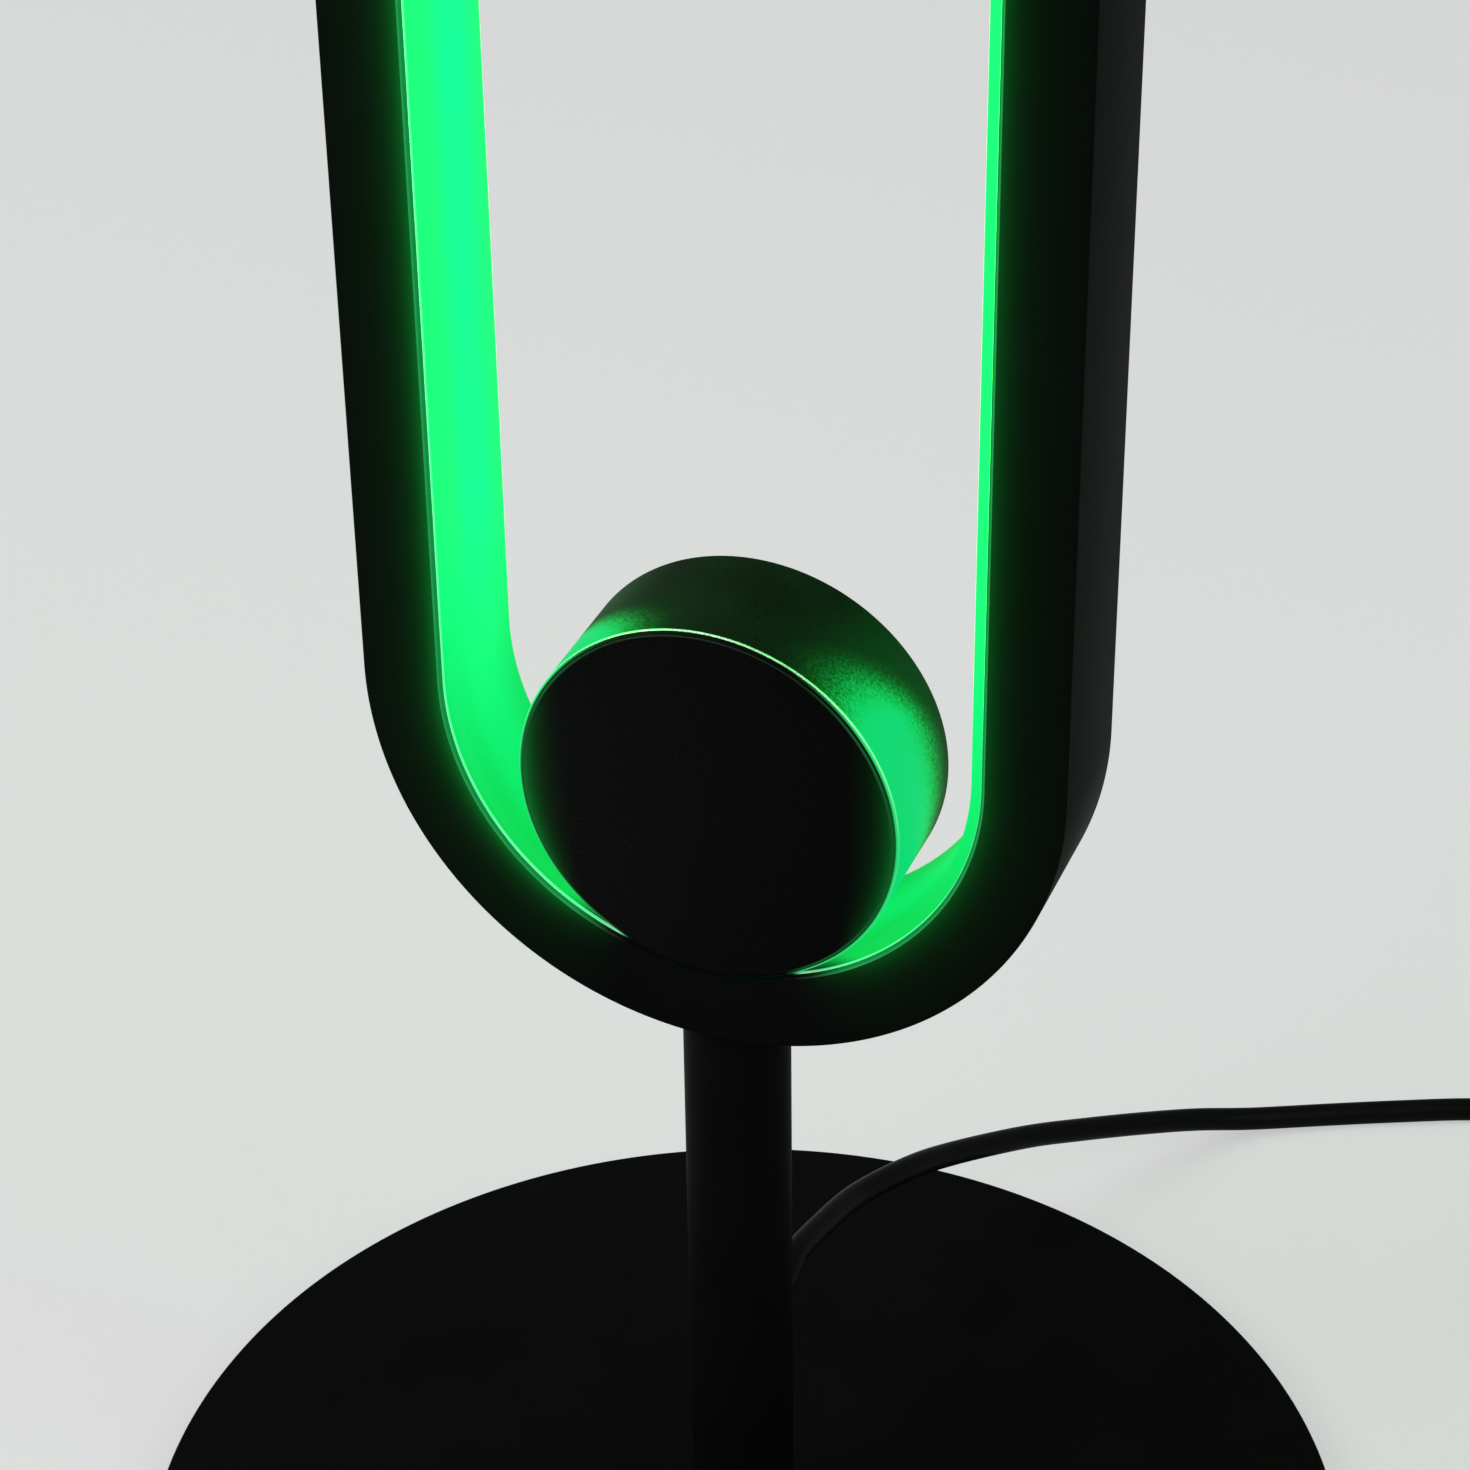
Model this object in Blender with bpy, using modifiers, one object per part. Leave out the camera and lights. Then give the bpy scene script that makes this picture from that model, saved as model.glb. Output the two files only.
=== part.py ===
"""A floor lamp: a tall upright loop of black channel, lit along its inner side, on a stem and a round base.

Metres, +Z up. The origin is the middle of the base's underside, and the front faces -Y. A short drum
stands in the bottom of the loop and holds the driver. The mains cord leaves the back of the stem,
crosses the base, and carries a foot switch, a coil of spare cord and a plug.
"""

import math

import bmesh
import bpy
from mathutils import Matrix, Vector

# Fits that many pieces share
FIT_GAP = 0.0003
BORE_CLEARANCE = 0.0003
OVERRUN = 0.002
WELD_DISTANCE = 0.00001

# Whole lamp
TOTAL_HEIGHT = 1.2
STEM_LENGTH = 0.166

# Base
BASE_RADIUS = 0.150
PLATE_THICKNESS = 0.008
PLATE_EDGE = 0.0008
PAD_THICKNESS = 0.0017
PAD_MARGIN = 0.004
PAD_HOLE_RADIUS = 0.020
RECESS_RADIUS = 0.013
RECESS_DEPTH = 0.005
WASHER_RADIUS = 0.012
WASHER_THICKNESS = 0.0015
BOLT_RADIUS = 0.004
BOLT_HEAD_RADIUS = 0.008
BOLT_HEAD_HEIGHT = 0.004
BOLT_REACH = 0.018
SOCKET_RADIUS = 0.0028
SOCKET_DEPTH = 0.0022

# Stem
STEM_RADIUS = 0.0125
STEM_WALL = 0.0015
FOOT_PLUG_LENGTH = 0.0217
HEAD_PLUG_LENGTH = 0.0257
NIPPLE_RADIUS = 0.005
NIPPLE_BORE = 0.0032
NIPPLE_BELOW = 0.024
NIPPLE_ABOVE = 0.0104

# Loop of channel
LOOP_HALF_WIDTH = 0.0815
CHANNEL_HEIGHT = 0.0191
CHANNEL_DEPTH = 0.033
CHANNEL_WALL = 0.0018
CHANNEL_EDGE = 0.0006
CHANNEL_LIP = 0.0009
SADDLE_HALF_WIDTH = 0.014
SADDLE_SLOT = 0.0086
SADDLE_SLOT_WIDTH = 0.004

# Light
DIFFUSER_PROUD = 0.0028
DIFFUSER_THICKNESS = 0.005
DIFFUSER_EDGE = 0.0007
STRIP_WIDTH = 0.010
STRIP_THICKNESS = 0.0004
STRIP_END = 0.0155
CHIP_SIZE = 0.005
CHIP_HEIGHT = 0.0016
CHIP_PITCH = 0.0333

# Drum
DRUM_RADIUS = 0.0446
DRUM_SINK = 0.0009
DRUM_FRONT = 0.0173
DRUM_BACK = 0.0167
DRUM_WALL = 0.0016
DRUM_EDGE = 0.0011
COVER_THICKNESS = 0.002
BOSS_RADIUS = 0.0035
BOSS_CIRCLE = 0.0365
PILOT_RADIUS = 0.0016
SCREW_RADIUS = 0.0013
SCREW_HEAD_RADIUS = 0.0028
SCREW_HEAD_HEIGHT = 0.001
SCREW_LENGTH = 0.008
NUT_RADIUS = 0.0081
NUT_HEIGHT = 0.0055

# Driver inside the drum
BOARD_RADIUS = 0.030
BOARD_THICKNESS = 0.0016
BOARD_STANDOFF = 0.0064
STANDOFF_RADIUS = 0.003
STANDOFF_CIRCLE = 0.025
BOARD_SCREW_LENGTH = 0.0055
TERMINAL_WIDTH = 0.024
TERMINAL_HEIGHT = 0.010
TERMINAL_DEPTH = 0.009
TERMINAL_DROP = 0.0115
TRANSFORMER_HEIGHT = 0.011
CAPACITOR_HEIGHT = 0.0085
DRIVER_CHIP_HEIGHT = 0.0018
CORE_SPREAD = 0.0062

# Cord and what is on it
CORD_RADIUS = 0.00325
CORD_STEP = 0.016
FLOOR_GAP = 0.00025
EXIT_HEIGHT = 0.067
BUSH_OUTSIDE = 0.0105
BUSH_INSIDE = 0.0095
BUSH_SHOULDER_RADIUS = 0.0058
BUSH_SHOULDER = 0.002
BUSH_TIP_RADIUS = 0.0045
NECK_RADIUS = 0.0045
LEAD_RADIUS = 0.0022
STRIP_LEAD_RADIUS = 0.0012

SWITCH_X = 0.197
SWITCH_Y = 0.166
SWITCH_HALF_LENGTH = 0.040
SWITCH_HALF_WIDTH = 0.022
SWITCH_WALL = 0.002
SWITCH_FLOOR = 0.003
SWITCH_LOWER = 0.0075
SWITCH_UPPER = 0.0132
SWITCH_EDGE = 0.0045
CORD_ENTRY_HEIGHT = 0.0080
BUTTON_RADIUS = 0.0125
BUTTON_RISE = 0.0045
BUTTON_EDGE = 0.0018
BUTTON_TRAVEL = 0.003
BUTTON_CLEARANCE = 0.0005
FLANGE_RADIUS = 0.0142
FLANGE_THICKNESS = 0.0015
CONTACT_LENGTH = 0.018
CONTACT_WIDTH = 0.014
CONTACT_HEIGHT = 0.0078
SPRING_RADIUS = 0.0038
SPRING_WIRE = 0.0004
SPRING_POCKET = 0.0052
SPRING_TURNS = 5
SWITCH_BOSS_Y = 0.027
SWITCH_BOSS_X = 0.009

COIL_INNER_RADIUS = 0.0262
COIL_PITCH = 0.0072
COIL_TURNS_EACH_WAY = 2.75
COIL_POINTS_PER_TURN = 24
COIL_RUN_IN = 0.0285
TIE_THICKNESS = 0.0008
TIE_WIDTH = 0.008
TIE_SLACK = 0.0007

PLUG_LENGTH = 0.036
PLUG_FACE_HALF_WIDTH = 0.0176
PLUG_FACE_HALF_HEIGHT = 0.0068
PLUG_TAIL_HALF_WIDTH = 0.006
PLUG_TAIL_HALF_HEIGHT = 0.005
PLUG_EDGE = 0.0016
PIN_RADIUS = 0.002
PIN_LENGTH = 0.019
PIN_SPREAD = 0.0093

# The cord's free route past the bush, over the base and along the floor to the switch: (x, y, height)
LEAD_ROUTE = (
    (0.0, 0.0300, 0.0669),
    (-0.0002, 0.0388, 0.0665),
    (0.0003, 0.0575, 0.0630),
    (0.0020, 0.0764, 0.0580),
    (0.0079, 0.0985, 0.0515),
    (0.0141, 0.1177, 0.0440),
    (0.0265, 0.1453, 0.0325),
    (0.0380, 0.1646, 0.0240),
    (0.0503, 0.1828, 0.0160),
    (0.0620, 0.1970, 0.0100),
    (0.0755, 0.2085, 0.0055),
    (0.0954, 0.2205, 0.0036),
    (0.1140, 0.2292, 0.0035),
    (0.1327, 0.2372, 0.0035),
    (0.1520, 0.2430, 0.0035),
    (0.1710, 0.2420, 0.0035),
    (0.1870, 0.2335, 0.0041),
    (0.1955, 0.2215, 0.0066),
)

# The short stretch between the coil and the plug: (x, y, height)
TAIL_ROUTE = (
    (0.2890, 0.1135, 0.0105),
    (0.2890, 0.1220, 0.0086),
    (0.2892, 0.1300, 0.0075),
)

# Heights and places that follow from the sizes
PLATE_BOTTOM = PAD_THICKNESS + FIT_GAP
BASE_TOP = PLATE_BOTTOM + PLATE_THICKNESS
STEM_BOTTOM = BASE_TOP + FIT_GAP
LOOP_BOTTOM = BASE_TOP + STEM_LENGTH
LOW_ARC = LOOP_BOTTOM + LOOP_HALF_WIDTH
HIGH_ARC = TOTAL_HEIGHT - LOOP_HALF_WIDTH
WINDOW_RADIUS = LOOP_HALF_WIDTH - CHANNEL_HEIGHT
DRUM_HEIGHT = LOOP_BOTTOM + CHANNEL_HEIGHT - DRUM_SINK + DRUM_RADIUS
DRUM_INNER_RADIUS = DRUM_RADIUS - DRUM_WALL
WEB_RADIUS = LOOP_HALF_WIDTH - CHANNEL_WALL
STRIP_OUTSIDE = WEB_RADIUS - FIT_GAP
STRIP_INSIDE = STRIP_OUTSIDE - STRIP_THICKNESS
STRIP_LEAD_X = SADDLE_SLOT + STRIP_LEAD_RADIUS + STRIP_LEAD_RADIUS / 2
PLATE_STEPS = 80
ROUND_STEPS = 60
ARC_STEPS = 32
COPE_STEPS = 128
SEAT_STEPS = 192
SMALL_STEPS = 20
SCREW_STEPS = 16
TUBE_STEPS = 40
SPRING_STEPS = 10
SHARP_ANGLE = math.radians(40)

BLACK_COAT = ((0.012, 0.012, 0.013), 0.42, 0.0)
BLACK_PLASTIC = ((0.014, 0.014, 0.015), 0.5, 0.0)
BLACK_RUBBER = ((0.016, 0.016, 0.017), 0.75, 0.0)
BLACK_FOAM = ((0.02, 0.02, 0.021), 0.95, 0.0)
ZINC = ((0.62, 0.63, 0.65), 0.35, 1.0)
BRASS = ((0.72, 0.53, 0.25), 0.35, 1.0)
LIT_GREEN = ((0.01, 0.95, 0.28), 0.4, 0.0)
STRIP_WHITE = ((0.85, 0.86, 0.84), 0.5, 0.0)
BOARD_GREEN = ((0.02, 0.18, 0.06), 0.45, 0.0)
PART_GREY = ((0.08, 0.08, 0.09), 0.4, 0.0)
LEAD_WHITE = ((0.8, 0.8, 0.78), 0.45, 0.0)


def clear_scene():
    for thing in list(bpy.data.objects):
        bpy.data.objects.remove(thing, do_unlink=True)


clear_scene()
LAMP = bpy.data.collections.new("led_floor_lamp")
CUTTERS = bpy.data.collections.new("cutters")
for group in (LAMP, CUTTERS):
    bpy.context.scene.collection.children.link(group)
CUTTERS.hide_render = True


def finish_with(thing, finish):
    """Gives the object its own Principled material."""
    colour, roughness, metallic = finish
    made = bpy.data.materials.new(thing.name)
    made.use_nodes = True
    shader = made.node_tree.nodes["Principled BSDF"]
    shader.inputs["Base Color"].default_value = (*colour, 1.0)
    shader.inputs["Roughness"].default_value = roughness
    shader.inputs["Metallic"].default_value = metallic
    thing.data.materials.append(made)
    made.diffuse_color = (*colour, 1.0)


def add_object(name, data, finish=None, parent=None, place=(0.0, 0.0, 0.0)):
    """A new object; with a finish it is a piece of the lamp, and without one it is a cutter."""
    thing = bpy.data.objects.new(name, data)
    (LAMP if finish else CUTTERS).objects.link(thing)
    thing.parent = parent
    thing.location = place
    if finish:
        finish_with(thing, finish)
    else:
        thing.hide_render = True
        thing.display_type = "WIRE"
    return thing


def anchor(name, place, tilt=0.0):
    """An empty that carries pieces; a quarter turn of tilt stands its X-Y plane up, facing the front."""
    empty = bpy.data.objects.new(name, None)
    LAMP.objects.link(empty)
    empty.location = place
    empty.rotation_euler = (tilt, 0.0, 0.0)
    return empty


def mesh_from(name, bm):
    made = bpy.data.meshes.new(name)
    bm.to_mesh(made)
    bm.free()
    return made


def cylinder(name, radius, low, high, finish=None, parent=None, at=(0.0, 0.0), sides=ROUND_STEPS, turn=0.0):
    """A closed cylinder about its parent's Z, from one height to another."""
    bm = bmesh.new()
    place = Matrix.Translation((*at, (low + high) / 2)) @ Matrix.Rotation(turn, 4, "Z")
    bmesh.ops.create_cone(
        bm, cap_ends=True, segments=sides, radius1=radius, radius2=radius, depth=high - low, matrix=place
    )
    made = mesh_from(name, bm)
    if finish:
        made.shade_smooth()
        made.set_sharp_from_angle(angle=SHARP_ANGLE)
    return add_object(name, made, finish, parent)


def box(name, low, high, finish=None, parent=None):
    """A box between two corners."""
    bm = bmesh.new()
    low, high = Vector(low), Vector(high)
    size = high - low
    place = Matrix.Translation((low + high) / 2) @ Matrix.Diagonal((*size, 1.0))
    bmesh.ops.create_cube(bm, size=1.0, matrix=place)
    return add_object(name, mesh_from(name, bm), finish, parent)


def turned(name, profile, finish=None, parent=None, ring=False, steps=ROUND_STEPS, place=(0.0, 0.0, 0.0)):
    """A profile of (radius, height) points, from the top down its outer side, turned about Z."""
    bm = bmesh.new()
    corners = [bm.verts.new((radius, 0.0, height)) for radius, height in profile]
    pairs = list(zip(corners, corners[1:]))
    if ring:
        pairs.append((corners[-1], corners[0]))
    for pair in pairs:
        bm.edges.new(pair)
    thing = add_object(name, mesh_from(name, bm), finish, parent, place)
    screw = thing.modifiers.new("turn", "SCREW")
    screw.steps = steps
    screw.render_steps = steps
    screw.use_merge_vertices = True
    screw.merge_threshold = WELD_DISTANCE
    return thing


def round_edges(thing, width):
    edge = thing.modifiers.new("edges", "BEVEL")
    edge.width = width
    edge.segments = 2
    edge.limit_method = "ANGLE"
    edge.angle_limit = SHARP_ANGLE


def combine(thing, other, operation="DIFFERENCE"):
    """Cuts the other object out of this one, or joins it on."""
    cut = thing.modifiers.new(other.name, "BOOLEAN")
    cut.operation = operation
    cut.object = other
    cut.solver = "EXACT"


def evaluated_mesh(thing, name):
    """The object's mesh after its modifiers, welded; the object itself is removed."""
    bpy.context.view_layer.update()
    graph = bpy.context.evaluated_depsgraph_get()
    made = bpy.data.meshes.new_from_object(thing.evaluated_get(graph))
    bpy.data.objects.remove(thing, do_unlink=True)
    bm = bmesh.new()
    bm.from_mesh(made)
    bmesh.ops.remove_doubles(bm, verts=bm.verts, dist=WELD_DISTANCE)
    bmesh.ops.recalc_face_normals(bm, faces=bm.faces)
    bm.to_mesh(made)
    bm.free()
    made.name = name
    return made


def poly_curve(name, points, closed=False):
    data = bpy.data.curves.new(name, "CURVE")
    data.dimensions = "3D"
    data.twist_mode = "MINIMUM"
    spline = data.splines.new("POLY")
    spline.points.add(len(points) - 1)
    for knot, place in zip(spline.points, points):
        knot.co = (*place, 1.0)
    spline.use_cyclic_u = closed
    return data


def swept(name, path, section, finish, parent, closed=True):
    """A closed section, (outward, across) points, carried along a path in the parent's X-Y plane."""
    rail = poly_curve(name + "_rail", [(x, y, 0.0) for x, y in path], closed)
    shape = poly_curve(name + "_section", [(out, across, 0.0) for out, across in section], True)
    guide = add_object(name + "_shape", shape)
    rail.bevel_mode = "OBJECT"
    rail.bevel_object = guide
    rail.use_fill_caps = not closed
    made = evaluated_mesh(add_object(name + "_swept", rail), name)
    bpy.data.objects.remove(guide, do_unlink=True)
    return add_object(name, made, finish, parent)


def tube(name, points, radius, finish, resolution=2):
    """A round tube with flat ends, welded into one closed mesh."""
    data = poly_curve(name, points)
    data.bevel_depth = radius
    data.bevel_resolution = resolution
    data.use_fill_caps = True
    return add_object(name, data, finish)


def smooth_points(route, step):
    """Points about one step apart on a smooth curve through a route, which keeps its straight ends."""
    knots = [Vector(place) for place in route]
    first = knots[0] * 2 - knots[1]
    last = knots[-1] * 2 - knots[-2]
    padded = [first, *knots, last]
    points = []
    for before, start, end, after in zip(padded, padded[1:], padded[2:], padded[3:]):
        pieces = max(1, round((end - start).length / step))
        for index in range(pieces):
            t = index / pieces
            curve = 2 * start + (end - before) * t
            curve += (2 * before - 5 * start + 4 * end - after) * t**2
            curve += (3 * start - before - 3 * end + after) * t**3
            points.append(curve / 2)
    points.append(knots[-1])
    return points


FACE = anchor("loop_plane", (0.0, 0.0, 0.0), math.pi / 2)
DRUM = anchor("drum_axis", (0.0, 0.0, DRUM_HEIGHT), math.pi / 2)
SWITCH = anchor("switch_place", (SWITCH_X, SWITCH_Y, 0.0))


def station(distance, radius):
    """The place and outward angle at a distance round the loop, from its lowest point to the right."""
    quarter = radius * math.pi / 2
    leg = HIGH_ARC - LOW_ARC
    if distance < quarter:
        angle = distance / radius - math.pi / 2
        return radius * math.cos(angle), LOW_ARC + radius * math.sin(angle), angle
    if distance < quarter + leg:
        return radius, LOW_ARC + distance - quarter, 0.0
    if distance < 3 * quarter + leg:
        angle = (distance - quarter - leg) / radius
        return radius * math.cos(angle), HIGH_ARC + radius * math.sin(angle), angle
    if distance < 3 * quarter + 2 * leg:
        return -radius, HIGH_ARC - (distance - 3 * quarter - leg), math.pi
    angle = (distance - 3 * quarter - 2 * leg) / radius + math.pi
    return radius * math.cos(angle), LOW_ARC + radius * math.sin(angle), angle


def racetrack(radius, end_x=None):
    """The loop's path at this radius, closed, or open between two ends that stand end_x to either side."""
    skip = math.asin(end_x / radius) if end_x else 0.0
    step = math.pi / ARC_STEPS
    points = []
    for centre, first, last in (
        (LOW_ARC, -math.pi / 2 + skip, 0.0),
        (HIGH_ARC, 0.0, math.pi),
        (LOW_ARC, math.pi, 3 * math.pi / 2 - skip),
    ):
        count = max(1, round((last - first) / step))
        for index in range(count + 1):
            angle = first + (last - first) * index / count
            points.append((radius * math.cos(angle), centre + radius * math.sin(angle)))
    return points if end_x else points[:-1]


def base_pieces():
    outer = BASE_RADIUS
    plate = turned(
        "base_plate",
        [
            (0.0, BASE_TOP),
            (outer - PLATE_EDGE, BASE_TOP),
            (outer, BASE_TOP - PLATE_EDGE),
            (outer, PLATE_BOTTOM + PLATE_EDGE),
            (outer - PLATE_EDGE, PLATE_BOTTOM),
            (0.0, PLATE_BOTTOM),
        ],
        BLACK_COAT,
        steps=PLATE_STEPS,
    )
    recess_top = PLATE_BOTTOM + RECESS_DEPTH
    combine(plate, cylinder("bolt_recess", RECESS_RADIUS, PLATE_BOTTOM - OVERRUN, recess_top))
    hole_radius = BOLT_RADIUS + BORE_CLEARANCE
    hole = cylinder("bolt_hole", hole_radius, recess_top - OVERRUN, BASE_TOP + OVERRUN, sides=SMALL_STEPS)
    combine(plate, hole)
    turned(
        "base_pad",
        [
            (BASE_RADIUS - PAD_MARGIN, PAD_THICKNESS),
            (BASE_RADIUS - PAD_MARGIN, 0.0),
            (PAD_HOLE_RADIUS, 0.0),
            (PAD_HOLE_RADIUS, PAD_THICKNESS),
        ],
        BLACK_FOAM,
        ring=True,
    )
    washer_top = recess_top - FIT_GAP
    washer_bottom = washer_top - WASHER_THICKNESS
    turned(
        "base_washer",
        [
            (WASHER_RADIUS, washer_top),
            (WASHER_RADIUS, washer_bottom),
            (hole_radius, washer_bottom),
            (hole_radius, washer_top),
        ],
        ZINC,
        ring=True,
        steps=SMALL_STEPS,
    )
    head_top = washer_bottom - FIT_GAP
    head_bottom = head_top - BOLT_HEAD_HEIGHT
    bolt = turned(
        "base_bolt",
        [
            (0.0, BASE_TOP + BOLT_REACH),
            (BOLT_RADIUS, BASE_TOP + BOLT_REACH),
            (BOLT_RADIUS, head_top),
            (BOLT_HEAD_RADIUS, head_top),
            (BOLT_HEAD_RADIUS, head_bottom),
            (0.0, head_bottom),
        ],
        ZINC,
        steps=SMALL_STEPS,
    )
    socket_top = head_bottom + SOCKET_DEPTH
    combine(bolt, cylinder("bolt_socket", SOCKET_RADIUS, head_bottom - OVERRUN, socket_top, sides=6))


def stem_pieces():
    inner = STEM_RADIUS - STEM_WALL
    tall = LOOP_BOTTOM + CHANNEL_HEIGHT / 4
    stem = turned(
        "stem_tube",
        [(STEM_RADIUS, tall), (STEM_RADIUS, STEM_BOTTOM), (inner, STEM_BOTTOM), (inner, tall)],
        BLACK_COAT,
        ring=True,
        steps=TUBE_STEPS,
    )
    depth = CHANNEL_DEPTH / 2 + OVERRUN
    cope_radius = LOOP_HALF_WIDTH + FIT_GAP
    combine(stem, cylinder("stem_cope", cope_radius, -depth, depth, None, FACE, (0.0, LOW_ARC), COPE_STEPS))
    hole_radius = NECK_RADIUS + BORE_CLEARANCE
    behind = -STEM_RADIUS - OVERRUN
    at = (0.0, EXIT_HEIGHT)
    combine(stem, cylinder("cord_hole", hole_radius, behind, 0.0, None, FACE, at, SMALL_STEPS))
    plug_radius = inner - FIT_GAP
    for name, low, high, bore in (
        ("stem_foot_plug", STEM_BOTTOM, STEM_BOTTOM + FOOT_PLUG_LENGTH, BOLT_RADIUS),
        ("stem_head_plug", LOOP_BOTTOM - FIT_GAP - HEAD_PLUG_LENGTH, LOOP_BOTTOM - FIT_GAP, NIPPLE_RADIUS),
    ):
        inside = bore + BORE_CLEARANCE
        turned(
            name,
            [(plug_radius, high), (plug_radius, low), (inside, low), (inside, high)],
            ZINC,
            ring=True,
            steps=TUBE_STEPS,
        )
    top = LOOP_BOTTOM + CHANNEL_HEIGHT + NIPPLE_ABOVE
    low = LOOP_BOTTOM - NIPPLE_BELOW
    turned(
        "hollow_nipple",
        [(NIPPLE_RADIUS, top), (NIPPLE_RADIUS, low), (NIPPLE_BORE, low), (NIPPLE_BORE, top)],
        BRASS,
        ring=True,
        steps=SMALL_STEPS,
    )


def channel_section():
    """The channel's section: outward from the window edge, and across from front to back."""
    half = CHANNEL_DEPTH / 2
    inner = half - CHANNEL_WALL
    front = [
        (CHANNEL_HEIGHT - CHANNEL_WALL, inner),
        (0.0, inner),
        (0.0, half - CHANNEL_LIP),
        (CHANNEL_LIP, half),
        (CHANNEL_HEIGHT - CHANNEL_EDGE, half),
        (CHANNEL_HEIGHT, half - CHANNEL_EDGE),
    ]
    back = [(out, -across) for out, across in reversed(front)]
    return front + back


def loop_pieces():
    channel = swept("loop_channel", racetrack(WINDOW_RADIUS), channel_section(), BLACK_COAT, FACE)
    bore = NIPPLE_RADIUS + BORE_CLEARANCE
    top = LOOP_BOTTOM + CHANNEL_HEIGHT / 2
    combine(channel, cylinder("nipple_hole", bore, LOOP_BOTTOM - OVERRUN, top, sides=SMALL_STEPS))
    depth = CHANNEL_DEPTH / 2 + OVERRUN
    room = cylinder("drum_room", DRUM_RADIUS + FIT_GAP, -depth, depth, None, DRUM, sides=ROUND_STEPS * 2)
    combine(channel, room)
    half = CHANNEL_DEPTH / 2 - CHANNEL_WALL - FIT_GAP
    proud = -DIFFUSER_PROUD
    edge = DIFFUSER_EDGE
    deep = DIFFUSER_THICKNESS - DIFFUSER_PROUD
    front = [(proud, half - edge), (proud + edge, half), (deep, half)]
    back = [(out, -across) for out, across in reversed(front)]
    diffuser = swept("diffuser", racetrack(WINDOW_RADIUS), front + back, LIT_GREEN, FACE)
    combine(diffuser, room)
    wide = SADDLE_HALF_WIDTH + FIT_GAP
    combine(diffuser, box("diffuser_break", (-wide, -depth, LOOP_BOTTOM), (wide, depth, DRUM_HEIGHT)))
    saddle = box(
        "drum_saddle",
        (-SADDLE_HALF_WIDTH, -half, LOOP_BOTTOM),
        (SADDLE_HALF_WIDTH, half, LOOP_BOTTOM + CHANNEL_HEIGHT + CHANNEL_WALL),
        ZINC,
    )
    seat_radius = WEB_RADIUS - FIT_GAP
    seat = cylinder("saddle_seat", seat_radius, -depth, depth, None, FACE, (0.0, LOW_ARC), SEAT_STEPS)
    combine(saddle, seat, "INTERSECT")
    combine(saddle, room)
    combine(saddle, cylinder("saddle_bore", bore, LOOP_BOTTOM, DRUM_HEIGHT, sides=SMALL_STEPS))
    slot = box(
        "saddle_slot",
        (SADDLE_SLOT, -SADDLE_SLOT_WIDTH / 2, LOOP_BOTTOM),
        (SADDLE_HALF_WIDTH + OVERRUN, SADDLE_SLOT_WIDTH / 2, DRUM_HEIGHT),
    )
    combine(saddle, slot)


def led_strip():
    """The strip with its chips, open at the bottom behind the drum's saddle."""
    half = STRIP_WIDTH / 2
    section = [(0.0, half), (STRIP_THICKNESS, half), (STRIP_THICKNESS, -half), (0.0, -half)]
    strip = swept("led_strip", racetrack(STRIP_INSIDE, STRIP_END), section, STRIP_WHITE, FACE, closed=False)
    seated = CHIP_HEIGHT + STRIP_THICKNESS / 2
    radius = STRIP_INSIDE + STRIP_THICKNESS / 2 - seated / 2
    length = 2 * math.pi * radius + 2 * (HIGH_ARC - LOW_ARC)
    count = int((length - 4 * STRIP_END) / CHIP_PITCH)
    start = (length - (count - 1) * CHIP_PITCH) / 2
    size = Matrix.Diagonal((seated, CHIP_SIZE, CHIP_SIZE, 1.0))
    bm = bmesh.new()
    for index in range(count):
        x, y, angle = station(start + index * CHIP_PITCH, radius)
        place = Matrix.Translation((x, y, 0.0)) @ Matrix.Rotation(angle, 4, "Z")
        bmesh.ops.create_cube(bm, size=1.0, matrix=place @ size)
    chips = add_object("led_chips", mesh_from("led_chips", bm), None, FACE)
    combine(strip, chips, "UNION")


def around(circle, first_degrees, count=3):
    """Places on a circle about the drum's axis."""
    angles = [math.radians(first_degrees + index * 360 / count) for index in range(count)]
    return [(circle * math.cos(angle), circle * math.sin(angle)) for angle in angles]


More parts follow.
